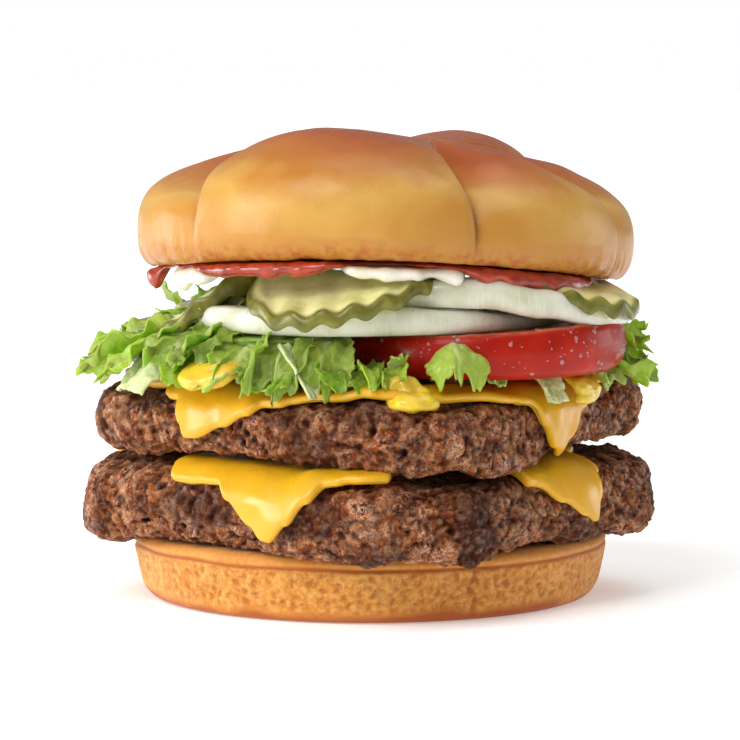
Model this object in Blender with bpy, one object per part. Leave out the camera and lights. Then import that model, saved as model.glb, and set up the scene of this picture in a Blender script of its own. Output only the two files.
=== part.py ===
"""Double cheeseburger: two square beef patties and two cheese slices in a round bun.

Every layer is its own closed solid, stacked along +Z from the flat underside of the
bun's heel, which is the origin. Lengths are in millimetres until a mesh is made.
Azimuths are in degrees, 0 at the front (-Y) and growing towards the right (+X).
"""
import math

import bmesh
import bpy
from mathutils import Matrix, Vector, noise

MM = 0.001
GAP = 0.35                      # left between pieces that touch

# bun heel
HEEL_RADIUS = 52.3
HEEL_FOOT_RADIUS = 46.0         # flat underside
HEEL_TOP = 14.6

# patties: rounded squares with ragged sides
PATTY_HALF_SIDE = 53.5
PATTY_SQUARENESS = 4.2          # superellipse power
PATTY_WAVER = 2.2               # unevenness of the outline
PATTY_BELLY = 2.2               # bulge of the side
PATTY_CRAG = 0.9                # lumps on the side
LOWER_PATTY = {"bottom": 14.95, "top": 31.0, "turn": 51.0, "scale": 1.0, "seed": 3.0}
UPPER_PATTY = {"bottom": 34.4, "top": 48.0, "turn": 58.0, "scale": 0.95, "seed": 11.0}

# cheese slices: squares draped over the patties; a corner is (azimuth, extra reach)
CHEESE_HALF_SIDE = 46.0
CHEESE_THICK = 2.5
CHEESE_BEND = 4.0               # radius in which a slice turns down over the edge
SIDE_CLEARANCE = 1.1            # a hanging corner bridges the crags of the side
CORNER_POWER = 12.0             # superellipse power that rounds a slice's corners
EDGE_INSET = 3.0                # where that bend starts, in from the patty's outline
LOWER_CHEESE_CORNERS = ((-21.0, 6.0), (66.0, 4.0), (155.0, 2.0), (247.0, 2.0))
UPPER_CHEESE_CORNERS = ((-50.0, 0.0), (54.0, 1.0), (140.0, 2.0), (225.0, 2.0))

# mustard dollops: azimuth, reach, half width in degrees, half length, height
MUSTARD = {
    "mustard_left": (-43.0, 51.0, 6.5, 5.5, 3.2),
    "mustard_front": (6.5, 49.5, 5.5, 5.0, 2.6),
    "mustard_right": (55.0, 55.0, 5.0, 4.5, 2.6),
}

# toppings between the upper cheese and the crown
TOPPING_FLOOR = 51.3            # top of the upper cheese plus the gap
TOMATO = {"centre": (22.0, -16.0), "radius": 34.0, "top": 60.45, "dish": 0.5}
FRONT_LEAF = {"from": -10.0, "to": 16.0, "height": 5.5}     # azimuths about the tomato
RING_FLOOR = 60.85
LOW_RING = {"centre": (0.0, -7.0), "radius": 43.0, "wall": 5.4}
HIGH_RING = {"centre": (20.0, -10.0), "radius": 37.0, "wall": 5.2}
ONION_PIECE = {"centre": (-13.5, -13.0), "radius": 20.0, "wall": 3.6, "top": 67.9}

# crown: a superellipsoid dome with pinwheel lobes, tipped on its toppings
CROWN_RADIUS = 55.0
CROWN_SEAT = (3.3, 0.0, 74.0)   # centre of the crown's cut face
CROWN_TIP_BACK = 3.4            # degrees; the pickles prop up the front
CROWN_ROLL_RIGHT = 1.7
CROWN_WAIST = 4.7               # height of the widest line over the cut face
CROWN_DOME = 25.2               # height of the dome over that line
CROWN_POWER = 2.3
CROWN_LIP_INSET = 4.6
CROWN_FLAT_INSET = 9.5
# lobes from the front one round to the right: where each starts, how high it
# stands, and whether its two edges ride over the neighbours or tuck under them
CROWN_SEAMS = (-50.0, 20.5, 68.0, 137.0, 215.0)
LOBE_LIFT = (-0.6, -1.6, -2.2, 1.2, -2.0)
LOBE_EDGES = ((1.0, 1.0), (-0.8, 0.9), (-0.8, -0.6), (0.8, 0.8), (-0.6, -0.8))
SEAM_SWIRL = 16.0               # how far a seam turns from rim to centre
SWIRL_CENTRE = (5.0, -3.0)
LOBE_BULGE = 3.8
SWIRL_DIMPLE = 3.2

# layers under the crown's cut face, in the crown's own frame
KETCHUP_TOP = -0.4
KETCHUP_THICK = 0.7
MAYO_TOP = -1.4
MAYO_THICK = 0.6
SPREAD_RIM = 4.0
PICKLE_TOP = -2.35
CRINKLE_PITCH = 6.4
CRINKLE_DEPTH = 0.45
PICKLES = {
    "pickle_front": {"centre": (-8.3, -35.5), "radius": 21.0, "thick": 3.2,
                     "bend_heading": -6.0, "bend_from": 38.0, "bend_radius": 21.0, "ridge_turn": 0.0},
    "pickle_left": {"centre": (-36.5, -7.0), "radius": 17.5, "thick": 3.0,
                    "bend_heading": -72.0, "bend_from": 34.0, "bend_radius": 24.0, "ridge_turn": 60.0},
    "pickle_right": {"centre": (34.0, -19.0), "radius": 17.5, "thick": 2.8,
                     "bend_heading": 55.0, "bend_from": 37.5, "bend_radius": 38.0, "ridge_turn": -50.0},
}

MATERIALS = {                   # linear colour, roughness
    "toasted_bun": ((0.52, 0.20, 0.045), 0.42),
    "grilled_beef": ((0.20, 0.075, 0.035), 0.55),
    "melted_cheese": ((0.78, 0.44, 0.05), 0.35),
    "mustard": ((0.70, 0.52, 0.04), 0.3),
    "lettuce": ((0.26, 0.36, 0.05), 0.45),
    "tomato": ((0.36, 0.03, 0.015), 0.2),
    "onion": ((0.78, 0.74, 0.58), 0.25),
    "pickle": ((0.42, 0.38, 0.12), 0.3),
    "mayonnaise": ((0.90, 0.84, 0.72), 0.25),
    "ketchup": ((0.35, 0.03, 0.012), 0.2),
}


# ---------------------------------------------------------------- small helpers

def heading(azimuth):
    """Unit vector in plan for an azimuth in degrees."""
    turn = math.radians(azimuth)
    return Vector((math.sin(turn), -math.cos(turn), 0.0))


def blend(edge0, edge1, value):
    """Smooth step from 0 at edge0 to 1 at edge1."""
    share = min(max((value - edge0) / (edge1 - edge0), 0.0), 1.0)
    return share * share * (3.0 - 2.0 * share)


def along(stations, value):
    """Smooth course through (place, height) stations."""
    if value <= stations[0][0]:
        return stations[0][1]
    for (x0, z0), (x1, z1) in zip(stations, stations[1:]):
        if value <= x1:
            return z0 + (z1 - z0) * blend(x0, x1, value)
    return stations[-1][1]


def away(azimuth, other):
    """Signed angle from other to azimuth, in -180..180."""
    return (azimuth - other + 180.0) % 360.0 - 180.0


def square_reach(turn, power):
    """Reach of a rounded square of half side 1, turned by an angle in radians."""
    return (abs(math.cos(turn)) ** power + abs(math.sin(turn)) ** power) ** (-1.0 / power)


def ripple(x, y, z, size, seed):
    """Smooth noise in -1..1 with lumps of about the given size."""
    return noise.noise(Vector((x / size + seed, y / size - seed, z / size + 0.5 * seed)))


def material(name):
    """The Principled material of one food."""
    made = bpy.data.materials.get(name)
    if made:
        return made
    colour, roughness = MATERIALS[name]
    made = bpy.data.materials.new(name)
    made.use_nodes = True
    shader = made.node_tree.nodes["Principled BSDF"]
    shader.inputs["Base Color"].default_value = (*colour, 1.0)
    shader.inputs["Roughness"].default_value = roughness
    shader.inputs["Metallic"].default_value = 0.0
    return made


def add_object(name, mesh_data, finish, parent=None):
    """Link a finished bmesh into the scene as one named sub-part."""
    bmesh.ops.triangulate(mesh_data, faces=mesh_data.faces[:])
    bmesh.ops.recalc_face_normals(mesh_data, faces=mesh_data.faces[:])
    mesh = bpy.data.meshes.new(name)
    mesh_data.to_mesh(mesh)
    mesh_data.free()
    mesh.transform(Matrix.Scale(MM, 4))
    mesh.shade_smooth()
    mesh.set_sharp_from_angle(angle=math.radians(45))
    mesh.materials.append(material(finish))
    piece = bpy.data.objects.new(name, mesh)
    piece.parent = parent
    bpy.context.scene.collection.objects.link(piece)
    return piece


def ring_solid(rings, bottom, top):
    """Closed body from stacked rings of points, closed by a pole at each end."""
    body = bmesh.new()
    rows = [[body.verts.new(point) for point in ring] for ring in rings]
    count = len(rows[0])
    for low, high in zip(rows, rows[1:]):
        for i in range(count):
            j = (i + 1) % count
            body.faces.new((low[i], low[j], high[j], high[i]))
    for row, pole in ((rows[0], bottom), (rows[-1], top)):
        tip = body.verts.new(pole)
        for i in range(count):
            body.faces.new((row[i], row[(i + 1) % count], tip))
    return body


def swept_solid(sections, closed):
    """Closed body through a row of sections, round to the start or capped."""
    body = bmesh.new()
    rows = [[body.verts.new(point) for point in section] for section in sections]
    count = len(rows[0])
    pairs = list(zip(rows, rows[1:]))
    if closed:
        pairs.append((rows[-1], rows[0]))
    for here, there in pairs:
        for i in range(count):
            j = (i + 1) % count
            body.faces.new((here[i], here[j], there[j], there[i]))
    if not closed:
        body.faces.new(rows[0])
        body.faces.new(rows[-1])
    return body


def columns(step, crowded=(), offsets=(0.0, 4.0, 9.0, 15.0)):
    """Azimuths round the stack, closer together near the crowded ones."""
    near = [c + side * o for c in crowded for o in offsets for side in (-1, 1)]
    kept = sorted({round(a % 360.0, 3) for a in near})
    for k in range(round(360.0 / step)):
        azimuth = k * step
        if all(abs(away(azimuth, a)) > 0.6 * step for a in kept):
            kept.append(azimuth)
    return sorted(kept)


# ---------------------------------------------------------------- bun heel

def make_heel():
    """Flat-footed disc with steep, slightly wavy sides and a rounded lower edge."""
    profile = ((HEEL_FOOT_RADIUS, 0.0), (49.2, 1.4), (50.8, 5.0), (51.9, 9.0),
               (HEEL_RADIUS, 12.0), (51.2, 13.9), (48.0, HEEL_TOP))
    azimuths = columns(360.0 / 42)
    rings = []
    for radius, height in profile:
        ring = []
        for azimuth in azimuths:
            out = heading(azimuth)
            wave = 0.6 * ripple(*(out * radius), 22.0, 5.0) * blend(0.0, 4.0, height)
            ring.append(out * (radius + wave) + Vector((0.0, 0.0, height)))
        rings.append(ring)
    body = ring_solid(rings, (0.0, 0.0, 0.0), (0.0, 0.0, HEEL_TOP))
    add_object("bun_heel", body, "toasted_bun")


# ---------------------------------------------------------------- patties and cheese

def patty_radius(patty, azimuth):
    """Plan outline of a patty: a rounded square, uneven round its edge."""
    square = square_reach(math.radians(azimuth - patty["turn"]), PATTY_SQUARENESS)
    radius = PATTY_HALF_SIDE * patty["scale"] * square
    out = heading(azimuth) * radius
    return radius + PATTY_WAVER * ripple(out.x, out.y, 0.0, 15.0, patty["seed"])


def patty_side(patty, azimuth, share):
    """Radius of the side at a share of the height, 0 at the bottom and 1 at the top."""
    radius = patty_radius(patty, azimuth)
    belly = PATTY_BELLY * (1.0 - (2.0 * share - 0.8) ** 2)
    out = heading(azimuth) * radius
    crag = PATTY_CRAG * ripple(out.x, out.y, 14.0 * share, 9.0, patty["seed"] + 4.0)
    return radius - 1.6 + belly + crag


def patty_rim_drop(patty, azimuth):
    """How far the lower rim sags outside what carries it."""
    out = heading(azimuth) * 40.0
    return 1.6 + 1.2 * ripple(out.x, out.y, 0.0, 24.0, patty["seed"] + 9.0)


def make_patty(name, patty, azimuths):
    """Square patty with flat bearing faces and a craggy, bulging side."""
    low, high = patty["bottom"], patty["top"]
    rings = []
    for share in (0.0, 0.0, 0.12, 0.42, 0.72, 0.91, 1.0):
        ring = []
        for azimuth in azimuths:
            height = low + (high - low) * share
            if not rings:
                radius = HEEL_RADIUS if patty is LOWER_PATTY else CHEESE_HALF_SIDE - 2.0
                radius = min(radius, patty_radius(patty, azimuth) - 5.0) + 1.0
            elif share == 0.0:
                radius = patty_side(patty, azimuth, 0.0) - 2.2
                height -= patty_rim_drop(patty, azimuth) * blend(53.0, 59.0, radius)
            elif share == 1.0:
                radius = patty_radius(patty, azimuth) - 8.5
            else:
                radius = patty_side(patty, azimuth, share) - 1.6 * blend(0.72, 0.91, share)
            ring.append(heading(azimuth) * radius + Vector((0.0, 0.0, height)))
        rings.append(ring)
    body = ring_solid(rings, (0.0, 0.0, low), (0.0, 0.0, high))
    add_object(name, body, "grilled_beef")


def drape_point(patty, azimuth, reach, lift):
    """Place on a sheet laid over a patty: reach runs out from the axis along it."""
    edge = patty_radius(patty, azimuth) - EDGE_INSET
    out = heading(azimuth)
    quarter = 0.5 * math.pi * CHEESE_BEND
    if reach <= edge:
        return out * reach + Vector((0.0, 0.0, patty["top"] + lift))
    if reach <= edge + quarter:
        turn = (reach - edge) / CHEESE_BEND
        across = edge + (CHEESE_BEND + SIDE_CLEARANCE * turn / (0.5 * math.pi) + lift) * math.sin(turn)
        height = patty["top"] - CHEESE_BEND + (CHEESE_BEND + lift) * math.cos(turn)
        return out * across + Vector((0.0, 0.0, height))
    fall = reach - edge - quarter
    height = patty["top"] - CHEESE_BEND - fall
    share = max((height - patty["bottom"]) / (patty["top"] - patty["bottom"]), 0.0)
    side = max(patty_side(patty, azimuth, share), edge + CHEESE_BEND) + SIDE_CLEARANCE
    return out * (side + lift) + Vector((0.0, 0.0, height))


def cheese_reach(corners, azimuth):
    """Length of a square slice from the axis to its edge, corners reaching furthest."""
    apart, extra = min((abs(away(azimuth, place)), more) for place, more in corners)
    square = square_reach(math.radians(min(apart, 45.0) + 45.0), CORNER_POWER)
    return CHEESE_HALF_SIDE * square + extra * blend(22.0, 0.0, apart)


def drape_stations(patty, corners, azimuth):
    """Reaches of a slice's rings: inside, through the bend over the edge, and its end."""
    reach = cheese_reach(corners, azimuth)
    edge = patty_radius(patty, azimuth) - EDGE_INSET
    quarter = 0.5 * math.pi * CHEESE_BEND
    bend = [min(edge + quarter * share, reach * cap) for share, cap in
            ((0.0, 0.84), (0.5, 0.9), (1.0, 0.95))]
    return [*bend, reach - 0.5, reach]


def make_cheese(name, patty, corners, azimuths):
    """Square slice whose soft corners hang down the patty's sides."""
    outward = [drape_stations(patty, corners, azimuth) for azimuth in azimuths]
    rings = []
    for lift, stops in ((GAP, (0, 1, 2, 3)), (GAP + 0.5 * CHEESE_THICK, (4,)),
                        (GAP + CHEESE_THICK, (3, 2, 1, 0))):
        for stop in stops:
            rings.append([drape_point(patty, azimuth, reaches[stop], lift)
                          for azimuth, reaches in zip(azimuths, outward)])
    base = patty["top"] + GAP
    body = ring_solid(rings, (0.0, 0.0, base), (0.0, 0.0, base + CHEESE_THICK))
    add_object(name, body, "melted_cheese")


def mustard_body(azimuth, reach, width, length, height, grow=0.0):
    """Dollop squeezed out over the edge of the upper cheese, or the room it needs."""
    def place(turn, share, lift):
        angle = math.radians(turn)
        uneven = 1.0 + 0.16 * math.sin(2.0 * angle + azimuth) + 0.1 * math.cos(3.0 * angle)
        across = azimuth + share * (width + grow) * uneven * math.cos(angle)
        out = reach + share * (length + grow) * uneven * math.sin(angle)
        past = blend(0.6, 2.6, out - cheese_reach(UPPER_CHEESE_CORNERS, across))
        base = GAP + (1.5 * GAP + CHEESE_THICK) * (1.0 - past)
        return drape_point(UPPER_PATTY, across, out, base + lift * (height + 2.0 * grow) - grow)

    rings = [[place(30.0 * k, share, lift) for k in range(12)]
             for share, lift in ((0.7, 0.0), (0.97, 0.12), (1.0, 0.35), (0.86, 0.72), (0.5, 0.95))]
    return ring_solid(rings, place(0.0, 0.0, 0.0), place(0.0, 0.0, 1.0))


# ---------------------------------------------------------------- tomato and lettuce

def tomato_rings(grow=0.0):
    """Rings and poles of the tomato slice, or of the room it needs when grown."""
    centre = TOMATO["centre"]
    top = TOMATO["top"] + grow
    floor = TOPPING_FLOOR - grow
    dish = 0.0 if grow else TOMATO["dish"]
    rings = []
    for inset, height in ((3.2, floor), (0.6, floor + 1.2), (0.0, floor + 4.2),
                          (0.5, top - 1.6), (2.0, top), (12.0, top - dish)):
        ring = []
        for azimuth in columns(360.0 / 36):
            turn = math.radians(azimuth)
            radius = TOMATO["radius"] + grow - inset
            radius += 0.9 * math.sin(3.0 * turn + 0.7) + 0.5 * math.cos(5.0 * turn)
            ring.append(Vector((*centre, height)) + heading(azimuth) * radius)
        rings.append(ring)
    return rings, (*centre, floor), (*centre, top - dish)


def cut_room(piece, name, body):
    """Take the room of a neighbour out of a piece."""
    cutter = add_object(name, body, "tomato")
    cutter.hide_render = True
    cutter.display_type = "WIRE"
    cut = piece.modifiers.new(name, "BOOLEAN")
    cut.operation = "DIFFERENCE"
    cut.object = cutter


def make_tomato():
    """Thick slice with a rounded skin and a flat cut face."""
    add_object("tomato_slice", ring_solid(*tomato_rings()), "tomato")


LETTUCE_REACH = ((-180.0, 54.0), (-140.0, 55.0), (-112.0, 60.0), (-88.0, 62.0), (-72.0, 57.0),
                 (-58.0, 60.0), (-40.0, 55.0), (-20.0, 58.0), (-2.0, 52.0), (9.0, 34.0),
                 (68.0, 34.0), (80.0, 60.0), (98.0, 63.0), (112.0, 55.0), (140.0, 56.0),
                 (180.0, 54.0))
LETTUCE_SAG = ((-180.0, 1.0), (-120.0, 3.0), (-92.0, 8.0), (-66.0, 6.0), (-45.0, 1.5), (-20.0, 2.0),
               (60.0, 0.5), (86.0, 5.0), (110.0, 3.0), (180.0, 1.0))


def lettuce_outline(azimuth, height):
    """Ragged reach of the chopped leaves at one height."""
    out = heading(azimuth) * 58.0
    return along(LETTUCE_REACH, away(azimuth, 0.0)) + 3.6 * ripple(out.x, out.y, height, 7.0, 2.0)


def make_lettuce():
    """Heap of chopped leaves, one solid out to its uneven outline, round the tomato."""
    azimuths = columns(360.0 / 54)
    floor, top = TOPPING_FLOOR, TOMATO["top"]
    rings = []
    for inset, share, sag in ((22.0, 0.0, 0.0), (7.5, 0.0, 0.0), (0.6, 0.05, 1.0), (0.0, 0.3, 0.6),
                              (-0.6, 0.62, 0.0), (3.5, 0.95, 0.0), (11.0, 1.0, 0.0), (22.0, 1.0, 0.0)):
        ring = []
        for azimuth in azimuths:
            height = floor + (top - floor) * share
            radius = lettuce_outline(azimuth, height) - inset
            clear = patty_radius(UPPER_PATTY, azimuth) + 4.5
            hang = along(LETTUCE_SAG, away(azimuth, 0.0)) * blend(clear - 1.0, clear + 1.5, radius)
            lump = 0.0
            if inset == 3.5:
                lump = 0.7 + 1.2 * ripple(*(heading(azimuth) * radius), 9.0, 7.0)
                lump *= blend(50.0, 53.0, radius)
            ring.append(heading(azimuth) * radius + Vector((0.0, 0.0, height - sag * hang + lump)))
        rings.append(ring)
    body = ring_solid(rings, (0.0, 0.0, floor), (0.0, 0.0, top))
    heap = add_object("lettuce", body, "lettuce")

    cut_room(heap, "tomato_room", ring_solid(*tomato_rings(GAP)))
    cut_room(heap, "mustard_room", mustard_body(*MUSTARD["mustard_left"], grow=2.0 * GAP))


def make_front_leaf():
    """Folded leaf that hangs out in front of the tomato."""
    centre = Vector((*TOMATO["centre"], 0.0))
    near = TOMATO["radius"] + 2.2
    sections = []
    for k in range(9):
        share = k / 8
        out = heading(FRONT_LEAF["from"] + (FRONT_LEAF["to"] - FRONT_LEAF["from"]) * share)
        swell = math.sin(math.pi * min(max(share, 0.06), 0.94))
        far = near + 1.2 + 3.2 * swell + 0.8 * math.sin(9.0 * share)
        foot = TOPPING_FLOOR + 0.2 + 1.2 * share
        head = foot + 2.0 + FRONT_LEAF["height"] * swell
        places = ((near, foot), (far, foot + 0.4), (far + 0.7, 0.5 * (foot + head)),
                  (near + 0.9, head), (near, head))
        sections.append([centre + out * radius + Vector((0.0, 0.0, height))
                         for radius, height in places])
    add_object("lettuce_leaf_front", swept_solid(sections, closed=False), "lettuce")


# ---------------------------------------------------------------- onion

LOW_RING_TOP = ((-180.0, 64.0), (-90.0, 64.3), (-45.0, 65.3), (-12.0, 65.0), (7.0, 66.5), (25.0, 66.0),
                (55.0, 64.0), (180.0, 64.0))
HIGH_RING_FLOOR = ((-15.0, 63.6), (0.0, 65.0), (9.0, 67.0), (22.0, 66.6), (38.0, 64.4), (50.0, 60.85))
HIGH_RING_BACK_HEIGHT = 3.2
HIGH_RING_HEIGHT = ((-8.0, 3.2), (4.0, 2.3), (14.5, 2.2), (20.0, 6.3), (38.0, 3.1), (50.0, 1.7))


def onion_section(place, out, wall, floor, top, lean):
    """Rounded upright cut through an onion layer whose outer face is at place."""
    height = top - floor
    course = ((-0.6, 0.0), (lean, 0.35), (0.4 * lean, 0.8), (-1.1, 1.0),
              (0.9 - wall, 1.0), (-wall, 0.5), (0.7 - wall, 0.0))
    foot = Vector((place.x, place.y, floor))
    return [foot + out * across + Vector((0.0, 0.0, share * height)) for across, share in course]


def make_onions():
    """Two whole rings, one lying over the other, and a short curved piece."""
    low, high = [], []
    for azimuth in columns(360.0 / 36):
        turn = math.radians(azimuth)
        out = heading(azimuth)

        place = Vector((*LOW_RING["centre"], 0.0))
        place += out * (LOW_RING["radius"] + 0.8 * math.sin(2.0 * turn + 0.5))
        wall = LOW_RING["wall"] * (0.9 + 0.16 * math.cos(turn + 0.45))
        top = along(LOW_RING_TOP, away(azimuth, 0.0))
        low.append(onion_section(place, out, wall, RING_FLOOR, top, 0.6))

        place = Vector((*HIGH_RING["centre"], 0.0))
        place += out * (HIGH_RING["radius"] + 0.7 * math.sin(3.0 * turn))
        wall = HIGH_RING["wall"] * (0.92 + 0.14 * math.sin(turn))
        floor = along(HIGH_RING_FLOOR, place.x)
        front_height = along(HIGH_RING_HEIGHT, place.x)
        back_height = min(front_height, HIGH_RING_BACK_HEIGHT)
        height = front_height + (back_height - front_height) * blend(0.0, 30.0, place.y)
        high.append(onion_section(place, out, wall, floor, floor + height, 0.8))
    add_object("onion_ring_low", swept_solid(low, closed=True), "onion")
    add_object("onion_ring_high", swept_solid(high, closed=True), "onion")

    sections = []
    for k in range(11):
        out = heading(-140.0 + 12.0 * k)
        taper = 1.0 - 0.35 * abs(k - 5) / 5
        place = Vector((*ONION_PIECE["centre"], 0.0)) + out * ONION_PIECE["radius"]
        top = RING_FLOOR + (ONION_PIECE["top"] - RING_FLOOR) * (0.55 + 0.45 * taper)
        sections.append(onion_section(place, out, ONION_PIECE["wall"] * taper, RING_FLOOR, top, 1.0))
    add_object("onion_piece", swept_solid(sections, closed=False), "onion")


# ---------------------------------------------------------------- crown and what clings to it

def crown_seat():
    """Empty at the crown's cut face, tipped as the crown sits."""
    seat = bpy.data.objects.new("crown_seat", None)
    seat.location = Vector(CROWN_SEAT) * MM
    seat.rotation_euler = (math.radians(-CROWN_TIP_BACK), math.radians(CROWN_ROLL_RIGHT), 0.0)
    bpy.context.scene.collection.objects.link(seat)
    return seat


def pickle_point(shape, across, deep, lift):
    """Point of a limp crinkle-cut slice that follows the cut face and sags outside."""
    turn = math.radians(shape["ridge_turn"])
    x = shape["centre"][0] + across * math.cos(turn) - deep * math.sin(turn)
    y = shape["centre"][1] + across * math.sin(turn) + deep * math.cos(turn)
    over = max(Vector((x, y, 0.0)).dot(heading(shape["bend_heading"])) - shape["bend_from"], 0.0)
    fall = over * over / (2.0 * shape["bend_radius"])
    lean = min(over / shape["bend_radius"], 1.1)
    wave = CRINKLE_DEPTH * (math.sin(2.0 * math.pi * across / CRINKLE_PITCH) - 1.0)
    level = PICKLE_TOP + wave - (shape["thick"] - lift) * math.sqrt(1.0 + lean * lean)
    return Vector((x, y, level - fall))


def make_pickle(name, shape, seat):
    """Crinkle-cut slice: both faces ridged alike, the rim a little wavy."""
    count = 26
    rows = (-1.0, -0.55, 0.0, 0.55, 1.0)
    body = bmesh.new()
    faces = []
    for lift, radius in ((0.0, shape["radius"]), (shape["thick"], 0.97 * shape["radius"])):
        grid = []
        for i in range(count + 1):
            turn = math.pi * i / count
            reach = max(radius * math.sin(turn), 2.2) * (1.0 + 0.03 * math.sin(7.0 * i))
            grid.append([body.verts.new(pickle_point(shape, -radius * math.cos(turn), reach * row, lift))
                         for row in rows])
        faces.append(grid)
    last = len(rows) - 1
    low, high = faces
    for i in range(count):
        for grid in faces:
            for j in range(last):
                body.faces.new((grid[i][j], grid[i + 1][j], grid[i + 1][j + 1], grid[i][j + 1]))
        for j in (0, last):
            body.faces.new((low[i][j], low[i + 1][j], high[i + 1][j], high[i][j]))
    for i in (0, count):
        for j in range(last):
            body.faces.new((low[i][j], low[i][j + 1], high[i][j + 1], high[i][j]))
    add_object(name, body, "pickle", seat)


MAYO_REACH = ((-180.0, 43.5), (-75.0, 43.5), (-62.0, 50.0), (-52.0, 50.0), (-42.0, 44.0), (-14.0, 44.0),
              (-8.0, 51.0), (6.0, 51.5), (12.0, 45.0), (17.0, 50.5), (24.0, 44.0), (180.0, 43.5))
KETCHUP_REACH = ((-180.0, 49.0), (-92.0, 49.5), (-84.0, 52.5), (-76.0, 49.0), (-48.0, 49.0), (-36.0, 52.5),
                 (-14.0, 52.8), (-8.0, 47.5), (10.0, 47.5), (24.0, 50.5), (52.0, 52.0), (66.0, 49.0),
                 (180.0, 49.0))
MAYO_HANG = ((-180.0, 0.4), (-70.0, 0.4), (-60.0, 2.4), (-50.0, 1.8), (-42.0, 0.3), (-12.0, 0.3), (-6.0, 1.2),
             (5.0, 1.3), (12.0, 0.4), (18.0, 1.8), (25.0, 0.3), (180.0, 0.4))
KETCHUP_HANG = ((-180.0, 0.3), (-92.0, 0.5), (-84.0, 3.4), (-76.0, 0.3), (-72.0, 0.0), (-44.0, 0.0),
                (-34.0, 1.5), (-19.0, 1.4), (-15.0, 0.0), (29.0, 0.0), (36.0, 1.4), (52.0, 1.6), (66.0, 0.0), (95.0, 0.0),
                (180.0, 0.3))


def crown_lip(azimuth):
    """Height of the lower edge over the cut face; it curls down at the sides."""
    return -0.2 - 3.0 * math.sin(math.radians(azimuth)) ** 2


def crown_underside(radius, azimuth):
    """Height of the crown's cut face and curled edge at a radius, with a little to spare."""
    past_flat = radius - (CROWN_RADIUS - CROWN_FLAT_INSET)
    curl = min(max(past_flat / (CROWN_FLAT_INSET - CROWN_LIP_INSET), 0.0), 1.0)
    return 1.03 * crown_lip(azimuth) * curl


def make_spread(name, reach, hang, top, thick, finish, seat):
    """Thin sauce spread under the crown, with a lip that swells out at its edge."""
    azimuths = columns(360.0 / 48)
    rings = []
    for inset, drop, swell in ((SPREAD_RIM, thick, 0.0), (1.6, thick, 1.0), (0.0, 0.5 * thick, 0.55),
                               (1.2, 0.0, 0.0), (SPREAD_RIM, 0.0, 0.0)):
        ring = []
        for azimuth in azimuths:
            radius = along(reach, away(azimuth, 0.0)) - inset
            if inset == SPREAD_RIM:
                radius = min(radius, CROWN_RADIUS - CROWN_FLAT_INSET)
            fall = drop + swell * along(hang, away(azimuth, 0.0)) - crown_underside(radius, azimuth)
            ring.append(heading(azimuth) * radius + Vector((0.0, 0.0, top - fall)))
        rings.append(ring)
    body = ring_solid(rings, (0.0, 0.0, top - thick), (0.0, 0.0, top))
    add_object(name, body, finish, seat)


def lobe_relief(lobe, share, rise):
    """Relief over the plain dome at a share of the way across one lobe."""
    plump = math.sin(math.pi * share) ** 0.6
    start, end = LOBE_EDGES[lobe]
    edge = start * (1.0 - share) + end * share
    body = blend(0.0, 30.0, rise) * blend(90.0, 70.0, rise) + 0.4 * blend(30.0, 0.0, rise)
    stand = blend(12.0, 55.0, rise) * blend(90.0, 68.0, rise)
    return body * (LOBE_BULGE * (plump - 0.85) + edge) + stand * LOBE_LIFT[lobe]


def crown_point(azimuth, lobe, share, rise):
    """Point of the dome; rise is 0 at the widest line and 90 degrees at the top."""
    angle = math.radians(rise)
    across = CROWN_RADIUS * math.cos(angle) ** (2.0 / CROWN_POWER)
    inner = 1.0 - across / CROWN_RADIUS
    plan = heading(azimuth - SEAM_SWIRL * inner) * across + Vector((*SWIRL_CENTRE, 0.0)) * inner
    portion = min(plan.length / CROWN_RADIUS, 1.0)
    climb = (1.0 - portion ** CROWN_POWER) ** (1.0 / CROWN_POWER)
    normal = heading(azimuth) * portion ** (CROWN_POWER - 1.0) / CROWN_RADIUS
    normal += Vector((0.0, 0.0, climb ** (CROWN_POWER - 1.0) / CROWN_DOME))
    relief = lobe_relief(lobe, share, rise) - SWIRL_DIMPLE * blend(50.0, 90.0, rise)
    point = plan + Vector((0.0, 0.0, CROWN_WAIST + CROWN_DOME * climb))
    return point + normal.normalized() * relief


def make_crown(seat):
    """Domed top with five swirled lobes and an edge that curls under."""
    stations = []
    ends = CROWN_SEAMS[1:] + (CROWN_SEAMS[0] + 360.0,)
    for lobe, (start, end) in enumerate(zip(CROWN_SEAMS, ends)):
        for share in (0.02, 0.07, 0.17, 0.31, 0.5, 0.69, 0.83, 0.93, 0.98):
            stations.append((start + (end - start) * share, lobe, share))
    rings = []
    for inset, level, flat in ((26.0, 0.0, 1.0), (CROWN_FLAT_INSET, 0.0, 1.0), (CROWN_LIP_INSET, 0.0, 0.0),
                               (1.4, 0.35, 0.0)):
        ring = []
        for azimuth, _, _ in stations:
            lip = (1.0 - flat) * crown_lip(azimuth)
            height = lip + (CROWN_WAIST - lip) * level
            ring.append(heading(azimuth) * (CROWN_RADIUS - inset) + Vector((0.0, 0.0, height)))
        rings.append(ring)
    for rise in (0.0, 12.0, 24.0, 36.0, 48.0, 59.0, 69.0, 79.0):
        rings.append([crown_point(*station, rise) for station in stations])
    top = crown_point(0.0, 0, 0.5, 90.0)
    body = ring_solid(rings, (0.0, 0.0, 0.0), top)
    add_object("bun_crown", body, "toasted_bun", seat)


# ---------------------------------------------------------------- the whole burger

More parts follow.
